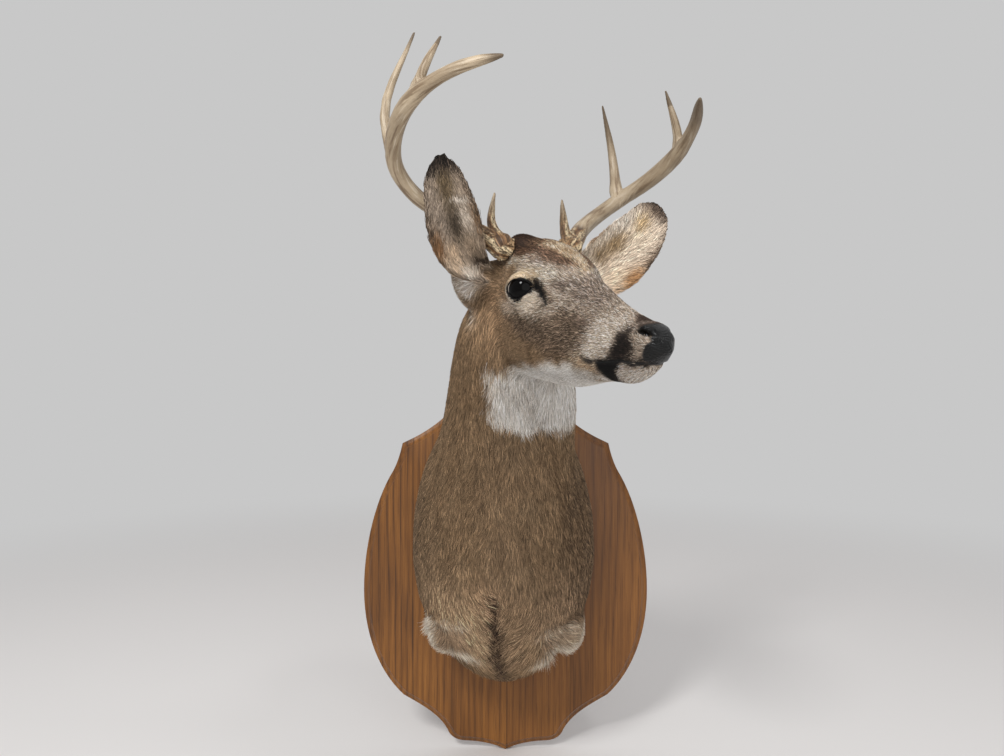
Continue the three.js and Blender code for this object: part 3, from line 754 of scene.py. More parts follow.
class Nodes:
    """A node tree, with short ways to add nodes to it. Colours are written as they display, 0 to 255."""

    def __init__(self, owner):
        owner.use_nodes = True
        self.tree = owner.node_tree

    def node(self, kind, settings=None, values=None, output=0):
        made = self.tree.nodes.new("ShaderNode" + kind)
        for key, value in (settings or {}).items():
            setattr(made, key, value)
        for key, value in (values or {}).items():
            self.put(value, made.inputs[key])
        return Value(self, made.outputs[output])

    def put(self, value, socket):
        if isinstance(value, Value):
            self.tree.links.new(value.socket, socket)
        elif not isinstance(value, tuple) or len(socket.default_value) == 3:
            socket.default_value = value
        else:
            socket.default_value = (*paint_tone(*value), 1)

    def place(self):
        return self.node("TexCoord", output=3)

    def attribute(self, name, output="Fac"):
        return self.node("Attribute", {"attribute_name": name}, output=output)

    def vector(self, operation, *values, output=0):
        return self.node("VectorMath", {"operation": operation}, dict(enumerate(values)), output)

    def noise(self, place, scale, detail=3.0, roughness=0.55):
        """Noise at a scale, or at one scale along each axis."""
        if isinstance(scale, tuple):
            place, scale = self.vector("MULTIPLY", place, scale), 1.0
        values = {"Vector": place, "Scale": scale, "Detail": detail, "Roughness": roughness}
        return self.node("TexNoise", None, values)

    def ramp(self, value, *stops):
        shade = self.node("ValToRGB", None, {0: value})
        elements = shade.socket.node.color_ramp.elements
        while len(elements) < len(stops):
            elements.new(0.5)
        for element, (position, colour) in zip(elements, stops):
            element.position = position
            element.color = (*paint_tone(*colour), 1)
        return shade

    def step(self, value, start, end, low=0.0, high=1.0):
        values = {0: value, 1: start, 2: end, 3: low, 4: high}
        return self.node("MapRange", {"interpolation_type": "SMOOTHSTEP"}, values)

    def blend(self, share, first, second):
        return self.node("Mix", {"data_type": "RGBA"}, {0: share, 6: first, 7: second}, 2)

    def seen(self):
        """1 for rays that show the background: straight, in a reflection or through glass."""
        return sum(self.node("LightPath", output=name) for name in
                   ("Is Camera Ray", "Is Glossy Ray", "Is Transmission Ray"))


class Shader(Nodes):
    """A material with one principled surface."""

    def __init__(self, name, **settings):
        self.material = bpy.data.materials.new(name)
        super().__init__(self.material)
        self.surface = self.tree.nodes["Principled BSDF"]
        for key, value in settings.items():
            self.feed(key.replace("_", " ").title().replace("Ior", "IOR"), value)

    def feed(self, name, value):
        self.put(value, self.surface.inputs[name])

    def bump(self, height, depth, strength):
        values = {"Height": height, "Distance": depth, "Strength": strength}
        self.feed("Normal", self.node("Bump", None, values))


# ---- coat ----

def lashes(away, gap, angle):
    """1 where the lashes grow, on the front of the upper lid."""
    lid = (away < 26) * ramp(gap, 0.0, 0.03) * ramp(gap, 0.12, 0.08)
    return lid * ramp(angle, 0.15, 0.35) * ramp(angle, 1.5, 0.9)


def lie_of_coat(points, normal, mask):
    """The way that the hair lies over the skin, as vectors along it."""
    place = points / MM
    x, y, z = place.T
    way = np.tile([0.0, 0.35, -1.0], (len(points), 1))
    # The hair of the brisket runs in to the middle line and the flaps' outwards; above them lies a whorl.
    off = x - np.interp(z, [-142, -100, -40, 20], [0, -11, -20, -12])
    pull = ramp(z, 30, -60) * ramp(np.abs(off), 80, 45) * ramp(y, -90, -140)
    way[:, 0] -= 1.5 * np.sign(off) * pull * ramp(np.abs(off), 0, 6)
    flaps = ramp(z, -20, -60) * ramp(np.abs(off), 50, 85)
    way[:, 0] += 1.3 * np.sign(off) * flaps
    whorl = blob(place, (-24, -250, 4), (20, 24, 22))
    way += whorl[:, None] * [1.3, 0, 1.7]
    # On the head it lies backwards, on the cheeks down too, and on the brow outwards.
    at = in_head(points)
    sign = np.sign(at[:, 1])
    side = sign * ramp(np.abs(at[:, 1]), 0, 20)
    cheek = ramp(at[:, 2], 10, -70)
    back = np.stack([-1 + 0.25 * cheek, 0.25 * side, -0.1 - 0.75 * cheek], axis=1)
    back += ramp(at[:, 2], -95, -125)[:, None] * [0.3, 0, -0.9]
    brow = blob(beside(at), (-20, 45, 22), (30, 25, 14))[:, None]
    back += brow * np.stack([0 * side, 0.5 * side, 0.35 + 0 * side], axis=1)
    away, off, angle = round_eye(at)
    lash = lashes(away, off - opening(angle), angle)[:, None]
    outwards = unit(from_eye(away, off + 0.1, angle, sign) - from_eye(away, off, angle, sign))
    back = mixed(back, outwards, lash)
    share = (mask["head"] + mask["nose"])[:, None]
    way = mixed(way, back @ HEAD_AXES, share)
    # On the ears it lies towards the tip; it fans out in the left one's hollow and in in the right one's.
    for name in SIDES:
        on_ear = mask[name + "_ear"][:, None]
        rib = np.array(EAR_RIBS[name], float)
        _, across = ear_place(at, name)
        tip = unit(rib[-1] - rib[1])
        spread = np.cross(tip, EAR_FACES[name]) * SIDES[name]
        fanning = 0.5 + (0.7 if name == "left" else -0.95) * ear_hollow(normal, name)
        lean = np.clip(across / 30, -1, 1) * fanning
        fan = tip + unit(spread) * lean[:, None]
        way = mixed(way, fan @ HEAD_AXES, on_ear)
    return way


def hair_size(points, normal, mask):
    """Length and width of the tufts in millimetres, how far they stand off, and how many grow on a mm2."""
    at = in_head(points)
    flat = beside(at)
    place = points / MM
    z = place[:, 2]
    head = mask["head"] + mask["nose"]
    rims = ramp(z, -40, -80) * ramp(place[:, 1], -50, -90)
    tassel = blob(place, (-110, -140, -54), (14, 30, 12)) + blob(place, (60, -160, -92), (14, 40, 12))
    length = 12 + 5 * ramp(z, 60, -60) + 3 * rims + 8 * tassel
    length += 6 * ramp(at[:, 2], -190, -150) * ramp(at[:, 0], -60, -30)
    face = 4.9 - 1.5 * ramp(at[:, 0], 50, 120) + 5 * ramp(at[:, 0], -30, -90) + 7 * ramp(at[:, 2], -88, -118)
    face += 4 * blob(flat, (-57, 24, 46), (26, 22, 20)) + 6 * blob(flat, (-79, 70, -22), (14, 14, 16))
    length = mixed(length, face, head)
    stand = 0.1 + (0.12 * rims + 0.25 * tassel) * (1 - head)
    number = 0.58 * (1 - head) + head * (1.0 + 0.85 * ramp(at[:, 0], -60, 10))
    for side in SIDES:
        on_ear = mask[side + "_ear"]
        along, _ = ear_place(at, side)
        hollow = ear_hollow(normal, side)
        length = mixed(length, 5 + hollow * (10 - 6 * along), on_ear)
        number = mixed(number, 0.95, on_ear)
        stand = mixed(stand, 0.06 + 0.08 * hollow, on_ear)
    width = np.interp(length, [3, 4, 6, 10, 14, 20], [0.44, 0.5, 0.62, 0.88, 1.08, 1.32])
    away, gap, angle = round_lids(at)
    gap = np.where(away < 30, gap, 1)
    length = length * (0.45 + 0.55 * ramp(gap, 0.05, 0.5))
    lash = lashes(away, gap, angle)
    length, stand, number = length + lash * (9 - length), stand + 0.7 * lash, number + 1.2 * lash
    corner = 0.07 * ramp(np.cos(angle), 0.5, 0.9)
    bare = leather(at) + (gap < 0.035 + corner)
    bare += along_side(flat, MOUTH, 2.2) > 0.4
    bare += along_side(flat, TEAR_DUCT, 2.4) > 0.45
    return length, width, stand, number * (bare < 0.5)


class Coat:
    """The roots of the tufts on the skin, and all that is known at each."""

    def __init__(self, skin, mask):
        mesh = skin.data
        co, normal = points_of(mesh), normals_of(mesh)
        net = Net(mesh)
        way = net.even(lie_of_coat(co, normal, mask), 12)
        length, width, stand, number = hair_size(co, normal, mask)
        corner = triangles_of(mesh)
        a, b, c = (co[corner[:, k]] for k in range(3))
        area = np.linalg.norm(np.cross(b - a, c - a), axis=1) / 2 / MM ** 2
        reach = np.cumsum(area * number[corner].mean(axis=1))
        count = int(reach[-1])
        chosen = np.searchsorted(reach, (np.arange(count) + rng.random(count)) / count * reach[-1])
        chosen = np.minimum(chosen, len(corner) - 1)
        u, v = rng.random((2, count))
        over = u + v > 1
        u[over], v[over] = 1 - u[over], 1 - v[over]
        share = np.stack([1 - u - v, u, v], axis=1)[:, :, None]

        def at_root(values):
            columns = values if values.ndim == 2 else values[:, None]
            found = (columns[corner[chosen]] * share).sum(axis=1)
            return found if values.ndim == 2 else found[:, 0]

        self.root = at_root(co)
        self.normal = unit(at_root(normal))
        way = at_root(way)
        self.way = unit(way - self.normal * (way * self.normal).sum(1)[:, None])
        self.length, self.width, self.stand = at_root(length), at_root(width), at_root(stand)
        self.mask = {name: at_root(values) for name, values in mask.items()}
        # The markings fray: each tuft takes its colour from a place a little beside its root.
        fray = 1.6 * (1 + self.mask["trunk"] + self.mask["neck"])
        beside_root = rng.normal(size=self.root.shape) * fray[:, None]
        self.colour, self.grizzle = markings(self.root + beside_root * MM, self.normal, self.mask)
        self.tree = BVHTree.FromPolygons(co.tolist(), corner.tolist())

    def laid(self, points, height):
        """Points dropped on the skin and raised off it by a height."""
        out = np.empty_like(points)
        for k, p in enumerate(points):
            spot, normal, _, _ = self.tree.find_nearest(p)
            out[k] = spot + normal * height[k]
        return out


# The faces of a tuft: three corners at the root, three at the middle and the tip, or without the middle.
TUFT_FACES = [(4, 3, 0, 1), (5, 4, 1, 2), (3, 5, 2, 0), (6, 3, 4), (6, 4, 5), (6, 5, 3)]
SHORT_TUFT_FACES = [(3, 0, 1), (3, 1, 2), (3, 2, 0)]
# How much the tufts' sizes vary, how big a tuft is on the UV map, and the brightness of its colours.
TUFT_SPREAD = (0.7, 1.25)
TUFT_ON_MAP = 0.0028
HAIR_GAIN = 0.98
# A piece with more tufts than this, or three times as many short ones, would be too big to export.
MOST_TUFTS = 21500


def mesh_of_tufts(name, corners, faces):
    """A mesh from the corners of each tuft and the faces that all have, and its face corners in order."""
    count, corner_count = corners.shape[:2]
    loops = np.concatenate([np.array(face) for face in faces])
    sizes = np.tile([len(face) for face in faces], count)
    starts = np.concatenate([[0], np.cumsum(sizes)[:-1]])
    index = (loops[None] + corner_count * np.arange(count)[:, None]).ravel()
    mesh = bpy.data.meshes.new(name)
    mesh.vertices.add(count * corner_count)
    mesh.vertices.foreach_set("co", corners.astype(np.float32).ravel())
    mesh.loops.add(len(index))
    mesh.loops.foreach_set("vertex_index", index.astype(np.int32))
    mesh.polygons.add(len(sizes))
    mesh.polygons.foreach_set("loop_start", starts.astype(np.int32))
    mesh.polygons.foreach_set("use_smooth", np.ones(len(sizes), bool))
    mesh.update(calc_edges=True)
    return mesh, index


def make_tufts(coat, chosen, name, unwrap, short):
    """One coat piece: tapered three-sided tufts along the skin, each with its own colours and UV patch."""
    count = len(chosen)
    root, normal, way = coat.root[chosen], coat.normal[chosen], coat.way[chosen]
    bend = rng.normal(0, 0.2, count) + 0.25 * patches(root / MM, 22, 31)
    side = np.cross(normal, way)
    way = unit(way * np.cos(bend)[:, None] + side * np.sin(bend)[:, None])
    side = np.cross(normal, way)
    length = (coat.length[chosen] * rng.uniform(*TUFT_SPREAD, count) * MM)[:, None]
    half = (coat.width[chosen] * rng.uniform(*TUFT_SPREAD, count) * MM / 2)[:, None]
    stand = coat.stand[chosen] * rng.uniform(0.4, 1.7, count)
    lift = stand * length[:, 0]
    tip = coat.laid(root + way * length, lift + 0.3 * MM)
    corners = [root - side * half * 0.8 - normal * half, root + side * half * 0.8 - normal * half,
               root + normal * half * 0.7]
    facing = [normal - side * 0.9, normal + side * 0.9, normal]
    map_shift = [(0, 0), (1, 0), (0.5, 0)]
    # Each tuft's tone darkens it towards the root and a little on its sides: partly dark underfur, partly
    # painted shade among the tufts.
    if short:
        faces, tone = SHORT_TUFT_FACES, (0.72, 0.72, 0.8, 1.0)
    else:
        curl = side * (rng.normal(0, 0.05, count)[:, None] * length)
        middle = coat.laid(root + way * length * 0.5 + curl, lift * 0.75 + 0.25 * MM)
        corners += [middle - side * half, middle + side * half, middle + normal * half * 0.8]
        facing = facing * 2
        map_shift += [(0.1, 0.5), (0.9, 0.5), (0.5, 0.5)]
        faces, tone = TUFT_FACES, (0.62, 0.62, 0.7, 0.95, 0.95, 1.0, 1.05)
    corners = np.stack(corners + [tip], axis=1)
    facing = np.stack(facing + [normal + way * 0.2], axis=1)
    map_shift = TUFT_ON_MAP * np.array(map_shift + [(0.5, 1)])
    mesh, index = mesh_of_tufts(name, corners, faces)
    mesh.normals_split_custom_set_from_vertices(unit(facing).reshape(-1, 3))
    change = np.exp(coat.grizzle[chosen] * np.clip(rng.normal(0, 1, count), -1.8, 1.8))
    colour = coat.colour[chosen] * (change[:, None] ** [1, 1.02, 1.06])
    colour = colour[:, None] * np.array(tone)[None, :, None]
    set_attribute(mesh, "hair", linear(colour * HAIR_GAIN).reshape(-1, 3))
    spot = unwrap(root, normal)
    low, high = spot.min(axis=0), spot.max(axis=0)
    spot = 0.004 + 0.989 * (spot - low) / np.maximum(high - low, 1e-6)
    spread = (spot[:, None] + map_shift[None]).reshape(-1, 2)[index]
    mesh.uv_layers.new(name="OFBake").data.foreach_set("uv", spread.astype(np.float32).ravel())
    piece = bpy.data.objects.new(name, mesh)
    bpy.context.scene.collection.objects.link(piece)
    return piece


def round_body(root, normal):
    """The trunk and neck unrolled: round the body, and up it."""
    return np.stack([np.arctan2(root[:, 0] - 0.01, -(root[:, 1] + 0.14)), root[:, 2]], axis=1)


def round_head(root, normal):
    """The head unrolled: round the muzzle, and along it."""
    at = in_head(root)
    return np.stack([np.arctan2(at[:, 1], at[:, 2] + 40), at[:, 0]], axis=1)


def over_ear(side):
    """An ear unrolled: across its front and its back, and along it."""
    def unroll(root, normal):
        along, across = ear_place(in_head(root), side)
        back = normal @ HEAD_AXES.T @ EAR_FACES[side] < 0
        return np.stack([across + 100 * back, along], axis=1)
    return unroll


def grow_coat(coat):
    """All coat pieces with their slots, parted so that none is too big to export."""
    ear = {side: coat.mask[side + "_ear"] > 0.5 for side in SIDES}
    on_ear = ear["right"] | ear["left"]
    head = (coat.mask["head"] + coat.mask["nose"] > 0.5) & ~on_ear
    regions = [("body", ~head & ~on_ear, round_body, "coat", True),
               ("head", head, round_head, "face_coat", True)]
    regions += [(side + "_ear", ear[side], over_ear(side), "ear_coat", False) for side in SIDES]
    for label, there, unwrap, slot, short in regions:
        chosen = np.flatnonzero(there)
        order = chosen[np.argsort(unwrap(coat.root[chosen], coat.normal[chosen])[:, 1])]
        parts = math.ceil(len(order) / (3 * MOST_TUFTS if short else MOST_TUFTS))
        for k, share in enumerate(np.array_split(order, parts)):
            name = f"{label}_coat_{k + 1}" if parts > 1 else f"{label}_coat"
            yield make_tufts(coat, share, name, unwrap, short), slot


def coat_material():
    shader = Shader("deer_hair", roughness=0.62, specular_ior_level=0.2)
    shader.feed("Base Color", shader.attribute("hair", "Color"))
    return shader.material


def hide_material():
    shader = Shader("deer_hide", specular_ior_level=0.26)
    wet = shader.attribute("wet")
    shader.feed("Base Color", shader.attribute("hair", "Color"))
    shader.feed("Roughness", 0.75 - 0.65 * wet)
    pebbles = 1 - shader.node("TexVoronoi", None, {"Vector": shader.place(), "Scale": 560.0})
    hairs = shader.noise(shader.place(), 900.0)
    shader.bump(wet * pebbles + (1 - wet) * hairs, 0.0009, 0.8)
    return shader.material


NOSE_BLACK = (3, 3, 3)


def paint_skin(skin, mask):
    """The colours of the skin under the hair, painted darker than the hair as shade under the coat, and where
    it is bare and wet.
    """
    points, normal = points_of(skin.data), normals_of(skin.data)
    colour, _ = markings(points, normal, mask)
    at = in_head(points)
    bare = leather(at)[:, None]
    # Away from the nose the skin takes 0.7 of the coat's colour: painted shade under the hair.
    colour = colour * (0.7 + 0.3 * bare)
    colour += bare * (np.array(NOSE_BLACK) / 255 - colour)
    _, gap, _ = round_lids(at)
    wet = leather(at) + ramp(gap, 0.06, 0.02) * (np.abs(at[:, 0]) < 60) * (at[:, 2] > -50)
    wet += 0.5 * ramp(along_side(beside(at), MOUTH, 2), 0.3, 0.7)
    wet += ramp(along_side(beside(at), TEAR_DUCT, 2.2), 0.3, 0.7)
    set_attribute(skin.data, "hair", linear(colour))
    set_attribute(skin.data, "wet", np.clip(wet, 0, 1))


skin = sculpt(make_skin())
skin_mask = part_masks(skin.data, 3)
paint_skin(skin, skin_mask)
finished(skin, "coat", hide_material(), *FLESH)
hair = coat_material()
for piece, slot in grow_coat(Coat(skin, skin_mask)):
    finished(piece, slot, hair)


# ---- eyes ----

def make_eye(side, sign):
    x, y, z = EYE["centre"]
    bpy.ops.mesh.primitive_ico_sphere_add(subdivisions=6, radius=EYE["radius"] * MM,
                                          location=from_head((x, sign * y, z)))
    eye = bpy.context.object
    eye.name = side + "_glass_eye"
    bpy.ops.object.transform_apply(location=True, rotation=True, scale=True)
    bpy.ops.object.shade_smooth()
    _, off, angle = round_eye(in_head(points_of(eye.data)))
    set_attribute(eye.data, "rim", ramp(off, 0.7, 0.76) * ramp(np.cos(angle), -0.8, -0.93))
    return eye


def glass_material():
    """Nearly black glass, with a pale rim at the back corner."""
    shader = Shader("eye_glass", roughness=0.03, specular_ior_level=0.1)
    shader.feed("Base Color", shader.blend(shader.attribute("rim"), (4, 3, 3), (186, 176, 166)))
    return shader.material


def make_lid_edge(side, sign):
    """The bare black edge of the lids: a ring bent along their opening."""
    bpy.ops.mesh.primitive_torus_add(major_segments=120, minor_segments=10, major_radius=1, minor_radius=0.1)
    edge = bpy.context.object
    edge.name = side + "_lid_edge"
    at = points_of(edge.data)
    angle = np.arctan2(at[:, 1], at[:, 0])
    outwards, forwards = (np.hypot(at[:, 0], at[:, 1]) - 1) * 10, at[:, 2] * 10
    away = EYE["radius"] + 0.6 + LID_EDGE * forwards
    off = opening(angle) + LID_EDGE * (outwards - 0.4) / EYE["radius"]
    move_points(edge.data, from_head(from_eye(away, off, angle, sign)))
    edit_all(edge, bpy.ops.mesh.normals_make_consistent, inside=False)
    bpy.ops.object.shade_smooth()
    return edge


glass = glass_material()
lid_skin = Shader("lid_skin", base_color=(10, 8, 8), roughness=0.34, specular_ior_level=0.12).material
for side, sign in SIDES.items():
    finished(make_eye(side, sign), "eye_glass", glass, side + "_eye")
    finished(make_lid_edge(side, sign), "nose_leather", lid_skin)


# ---- antlers ----

# The middle lines of the beams and tines, in the head's millimetres.
ANTLERS = {
    "right": {
        "beam": [(-52, -30, 22), (-64, -54, 34), (-104, -98, 52), (-128, -140, 70), (-129, -172, 101),
                 (-107, -187, 140), (-71, -189, 175), (-32, -174, 204), (-11, -157, 218), (6, -134, 230)],
        "brow": [(-64, -55, 38), (-90, -57, 57), (-103, -51, 90)],
        "second": [(-133, -168, 100), (-173, -175, 158), (-183, -147, 248)],
        "third": [(-71, -187, 178), (-66, -183, 206), (-83, -161, 241)]},
    "left": {
        "beam": [(-54, 28, 23), (-68, 51, 38), (-107, 96, 59), (-131, 139, 78), (-130, 172, 104),
                 (-105, 189, 134), (-71, 194, 172), (-33, 175, 209), (5, 136, 239)],
        "brow": [(-68, 49, 37), (-92, 55, 59), (-105, 51, 93)],
        "second": [(-132, 166, 97), (-177, 175, 158), (-186, 146, 219)],
        "third": [(-68, 196, 176), (-71, 184, 204), (-84, 161, 247)]},
}
# How far up the beam the burr lies.
BURR_AT = 21


def fine_line(points, step=2.0):
    """A line through the points with a place every few millimetres."""
    points = np.asarray(points, float)
    ends = np.concatenate([[2 * points[0] - points[1]], points, [2 * points[-1] - points[-2]]])
    out = []
    for a, b, c, d in zip(ends, ends[1:], ends[2:], ends[3:]):
        t = np.linspace(0, 1, max(2, int(np.linalg.norm(c - b) / step)), endpoint=False)[:, None]
        out.append(0.5 * (2 * b + (c - a) * t + (2 * a - 5 * b + 4 * c - d) * t ** 2
                          + (3 * b - a - 3 * c + d) * t ** 3))
    return np.concatenate(out + [points[-1:]])


def make_antler(side):
    """One antler in one piece: bark near its burr, furrows along it, and what its material needs to know."""
    nodes = [side + "_" + name for name in ANTLER_NODES]
    antler = copied_nodes(nodes, side + "_antler", 0.4 * MM)
    apply_modifier(antler, "REMESH", mode="VOXEL", voxel_size=ANTLER_FACE * MM, use_smooth_shade=True)
    mesh = antler.data
    net = Net(mesh)
    move_points(mesh, net.even(points_of(mesh) - normals_of(mesh) * 0.2 * MM, 8))
    at = in_head(points_of(mesh))
    away, length, turn, tip = (np.full(len(at), 1e9) for _ in range(4))
    for name, points in ANTLERS[side].items():
        line = fine_line(points)
        along = unit(np.gradient(line, axis=0))
        gone = np.concatenate([[0], np.cumsum(np.linalg.norm(np.diff(line, axis=0), axis=1))])
        apart = np.linalg.norm(at[:, None] - line[None], axis=2)
        nearest = apart.argmin(axis=1)
        distance = apart.min(axis=1)
        closer = distance < away
        from_line = at - line[nearest]
        first = unit(np.cross(along[nearest], [0.3, 0.2, 1]))
        second = np.cross(along[nearest], first)
        angle = np.arctan2((from_line * second).sum(1), (from_line * first).sum(1))
        start = 0 if name == "beam" else 40 + 10 * len(name)
        away[closer] = distance[closer]
        length[closer] = (gone[nearest] + start)[closer]
        turn[closer] = angle[closer]
        tip[closer] = (gone[-1] - gone[nearest])[closer]
    root = np.linalg.norm(at - np.array(ANTLERS[side]["beam"][1]), axis=1)
    rough = net.even(ramp(root, 75, 12), 3)
    around = np.stack([6 * np.cos(turn), 6 * np.sin(turn), length / 9], axis=1)
    furrow = np.abs(patches(around, 4, 51)) + 0.6 * np.abs(patches(around * [1, 1, 2.5], 2.4, 52))
    burr = np.exp(-((length - BURR_AT) / 4.5) ** 2) * (root < 26)
    knobs = np.abs(patches(at, 3.2, 53)) * 3 * burr
    height = rough * (1.3 * furrow - 0.7) + knobs + 0.18 * (1 - rough) * furrow
    co = points_of(mesh) + normals_of(mesh) * (height * MM)[:, None]
    move_points(mesh, net.even(co, 1, 0.35))
    set_attribute(mesh, "streak", np.stack([np.cos(turn), np.sin(turn), length / 90], axis=1))
    set_attribute(mesh, "rough_bone", np.clip(rough + burr, 0, 1))
    set_attribute(mesh, "furrow", net.even(furrow, 1))
    # The far, left antler is painted darker along its beam, as shade away from the light.
    set_attribute(mesh, "far_antler_shade", 0.35 * ramp(length, 60, 160) * (side == "left"))
    set_attribute(mesh, "tip_bone", ramp(tip, 26 if side == "right" else 80, 6) * (length > 150))
    finished(antler, "antler", bone, *nodes)


def bone_material():
    shader = Shader("antler_bone", roughness=0.46, specular_ior_level=0.35)
    streak = shader.attribute("streak", "Vector")
    rough = shader.attribute("rough_bone")
    long_noise = shader.noise(streak, 2.6, 4.0)
    wide = shader.noise(shader.place(), 22.0)
    # Smooth bone: ivory in soft patches, with darker streaks along it, and paler ones that are partly the
    # bone's own and partly painted highlight.
    smooth = shader.blend(shader.step(wide, 0.35, 0.65), (184, 166, 140), (156, 138, 114))
    smooth = shader.blend(shader.step(long_noise, 0.48, 0.68) * 0.85, smooth, (114, 94, 72))
    smooth = shader.blend(shader.step(long_noise, 0.44, 0.3, 0.0, 0.7), smooth, (206, 192, 170))
    bark = shader.ramp(shader.attribute("furrow"), (0.1, (78, 53, 34)), (0.38, (134, 100, 68)),
                       (0.7, (180, 150, 112)), (1, (212, 190, 154)))
    groove = shader.step(abs(shader.noise(streak, (5, 5, 12.5), 4.0, 0.6) - 0.5), 0.065, 0.015)
    bark = shader.blend(groove * 0.9, bark, (52, 36, 24))
    colour = shader.blend(shader.step(rough, 0.15, 0.7), smooth, bark)
    # Painted shade on the far antler.
    colour = shader.blend(shader.attribute("far_antler_shade"), colour, (112, 96, 76))
    colour = shader.blend(shader.attribute("tip_bone") * 0.75, colour, (76, 61, 46))
    shader.feed("Base Color", colour)
    grain = long_noise * 0.5 + 0.4 * shader.noise(shader.place(), 420.0)
    shader.bump(grain - groove * rough * 1.2, 0.0008, 0.7)
    return shader.material


bone = bone_material()
for side in SIDES:
    make_antler(side)


# ---- shield ----

# The moulding from the back's edge to the front's, in steps inwards and forwards, in millimetres.
BOARD_EDGE = [(0, 10), (0.5, 0.9), (1.0, 0.5), (1.6, 0.4), (2, 0.9), (2, 1.6), (1.8, 2), (1.2, 1.6),
              (0.6, 1.0), (0.5, 0.1)]
# Where the staves of the board meet, in metres.
SEAMS = (-0.150, -0.038, 0.002, 0.1045)


def bezier(*points):
    """Points of a curve with three or four handles, in millimetres, without its last."""
    points = np.array(points, float)
    t = np.linspace(0, 1, 15)[:-1, None]
    if len(points) == 3:
        a, b, c = points
        return (1 - t) ** 2 * a + 2 * t * (1 - t) * b + t ** 2 * c
    a, b, c, d = points
    return (1 - t) ** 3 * a + 3 * t * (1 - t) ** 2 * b + 3 * t ** 2 * (1 - t) * c + t ** 3 * d


def shield_outline():
    """The board's outline: its right half from the crest to the tip, then the same mirrored."""
    crest, tip, corner, waist = (0, 304), (0, -306), (168, 193), (184, 147)
    belly, hip, toe, flat = (231, -45), (166, -217), (92, -279), (66, -292)
    handles = [(crest, (38, 302), (66, 276)), ((66, 276), (98, 224), corner), (corner, (174, 165), waist),
               (waist, (210, 105), (231, 30), belly), (belly, (231, -120), (205, -182), hip),
               (hip, (140, -232), (104, -250), toe), (toe, (84, -291), flat), (flat, (28, -293), tip)]
    right = np.concatenate([bezier(*curve) for curve in handles] + [[tip]])
    return np.concatenate([right, right[-2:0:-1] * [-1, 1]])


def clear_of_corners(outline, room=11):
    """The outline without the points next to a sharp corner, where the moulding's steps would cross."""
    before, after = outline - np.roll(outline, 1, axis=0), np.roll(outline, -1, axis=0) - outline
    turn = np.arctan2(before[:, 0] * after[:, 1] - before[:, 1] * after[:, 0], (before * after).sum(1))
    corners = outline[np.abs(turn) > math.radians(15)]
    away = np.linalg.norm(outline[:, None] - corners[None], axis=2).min(axis=1)
    return outline[(away < 0.01) | (away > room)]


def make_shield():
    """The board: its outline filled, raised, and its front edge shaped in steps inwards and forwards."""
    outline = clear_of_corners(shield_outline())
    bpy.ops.mesh.primitive_circle_add(vertices=len(outline), radius=0.2)
    shield = bpy.context.object
    shield.name = "oak_shield"
    move_points(shield.data, np.stack([outline[:, 0], 0 * outline[:, 0], outline[:, 1]], axis=1) * MM)
    bpy.ops.object.mode_set(mode="EDIT")
    bpy.ops.mesh.select_all(action="SELECT")
    bpy.ops.mesh.edge_face_add()
    bpy.ops.mesh.extrude_region_move(TRANSFORM_OT_translate={"value": (0, -BOARD_EDGE[0][1] * MM, 0)})
    for inwards, forwards in BOARD_EDGE[1:]:
        bpy.ops.mesh.inset(thickness=inwards * MM, depth=0)
        bpy.ops.transform.translate(value=(0, -forwards * MM, 0))
    bpy.ops.mesh.select_face_by_sides(number=4, type="GREATER")
    bpy.ops.mesh.poke()
    bpy.ops.object.mode_set(mode="OBJECT")
    edit_all(shield, bpy.ops.mesh.normals_make_consistent, inside=False)
    bpy.ops.object.shade_smooth_by_angle(angle=math.radians(28))
    return shield


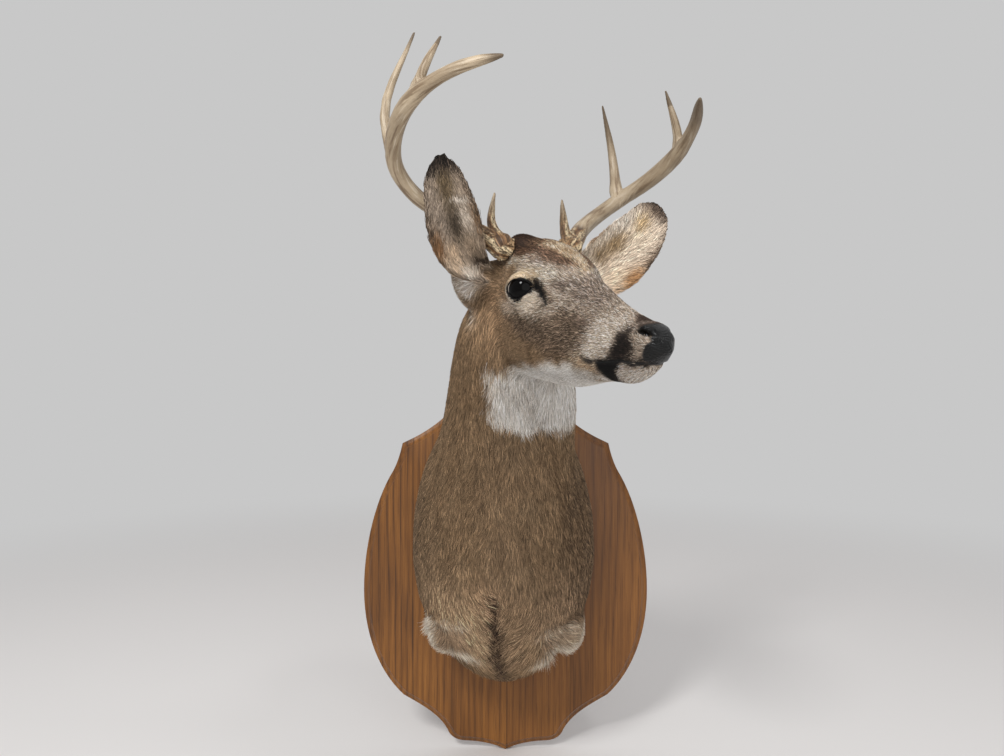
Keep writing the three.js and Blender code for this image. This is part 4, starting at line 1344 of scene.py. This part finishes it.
def oak_material():
    """Stained oak in staves, each with its own stretch of grain, with dark seams between them."""
    shader = Shader("stained_oak", specular_ior_level=0.3, coat_weight=0.06, coat_roughness=0.25)
    place = shader.place()
    x = shader.node("SeparateXYZ", None, {0: place})
    staves = [shader.step(x, seam - 0.0002, seam + 0.0002) for seam in SEAMS]
    stave = sum(staves)
    place = shader.vector("ADD", place, shader.node("CombineXYZ", None, {0: stave * 3.7, 2: stave * 5.3}))
    warp = shader.noise(place, (8.4, 8.4, 1.82), 2.0)
    turns = (x * 85.0 + warp * 5.0) * math.tau
    rings = turns.maths("SINE", turns)
    grain = shader.noise(place, (420, 420, 7), 3.0, 0.6)
    pores = shader.noise(place, (1000, 1000, 16), 2.0)
    broad = shader.noise(place, (26, 26, 4), 2.0)
    tone = shader.step(grain, 0.25, 0.75) * 0.4 + shader.step(rings, -1.2, 1.2) * 0.2
    tone = tone + shader.step(broad, 0.3, 0.7) * 0.4
    wood = shader.ramp(tone, (0.1, (90, 56, 25)), (0.5, (118, 75, 33)), (0.95, (144, 95, 43)))
    lines = shader.step(rings, -0.72, -0.95) * shader.step(grain, 0.6, 0.45)
    seams = sum(shader.step(abs(x - seam), 0.0012, 0.0003) for seam in SEAMS)
    for share, colour in ((lines * (0.6 - 0.35 * staves[0]), (60, 36, 20)),
                          (shader.step(pores, 0.42, 0.35) * 0.5, (56, 33, 18)),
                          (0.2 * staves[2], (92, 58, 34)), (0.5 * seams, (40, 24, 14))):
        wood = shader.blend(share, wood, colour)
    shader.feed("Base Color", wood)
    shader.feed("Roughness", 0.38 + 0.2 * shader.step(pores, 0.42, 0.3))
    shader.bump(pores + (1 - seams) * 1.2, 0.0003, 0.5)
    return shader.material


finished(make_shield(), "oak", oak_material(), "shield")


# ---- stage ----

BACKGROUND = (200, 200, 200)
# How far out the floor begins and ends to pass into the background, in metres.
FLOOR_FADE = (1.1, 2.8)


def floor_material():
    """A pale floor that passes into the background with distance, so that no edge of it shows."""
    shader = Shader("pale_floor", base_color=(232, 229, 226), roughness=0.8)
    away = shader.vector("LENGTH", shader.place(), output=1)
    glow = shader.node("Emission", None, {"Color": BACKGROUND})
    floor = Value(shader, shader.surface.outputs[0])
    mixed = shader.node("MixShader", None, {0: shader.step(away, *FLOOR_FADE), 1: floor, 2: glow})
    shader.put(mixed, shader.tree.nodes["Material Output"].inputs["Surface"])
    return shader.material


def studio_world():
    """Even, soft light from all round, with a pale grey background."""
    world = bpy.data.worlds.new("studio")
    nodes = Nodes(world)
    colour = nodes.blend(nodes.seen(), (190, 190, 192), BACKGROUND)
    nodes.put(colour, nodes.tree.nodes["Background"].inputs["Color"])
    return world


def lamp(name, place, size, power):
    """A round lamp that faces the mount."""
    bpy.ops.object.light_add(type="AREA", location=place)
    light = bpy.context.object
    light.name = name
    light.data.shape = "DISK"
    light.data.size = size
    light.data.energy = power
    light.rotation_euler = (Vector((0, -0.2, 0.25)) - Vector(place)).to_track_quat("-Z", "Y").to_euler()


bpy.ops.mesh.primitive_plane_add(size=30, location=(0, 0, 0))
floor = bpy.context.object
floor.name = "floor"
floor.location.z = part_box("shield")[0][2] - 0.0005
floor.data.materials.append(floor_material())
lamp("key", (-0.9, -2.2, 1.9), 0.6, 46)
lamp("fill", (0.5, -2.3, 0.5), 2.2, 14)
lamp("glint", (0.96, -1.03, 1.85), 0.35, 5)
bpy.context.scene.world = studio_world()
bpy.context.scene.view_settings.view_transform = "Standard"
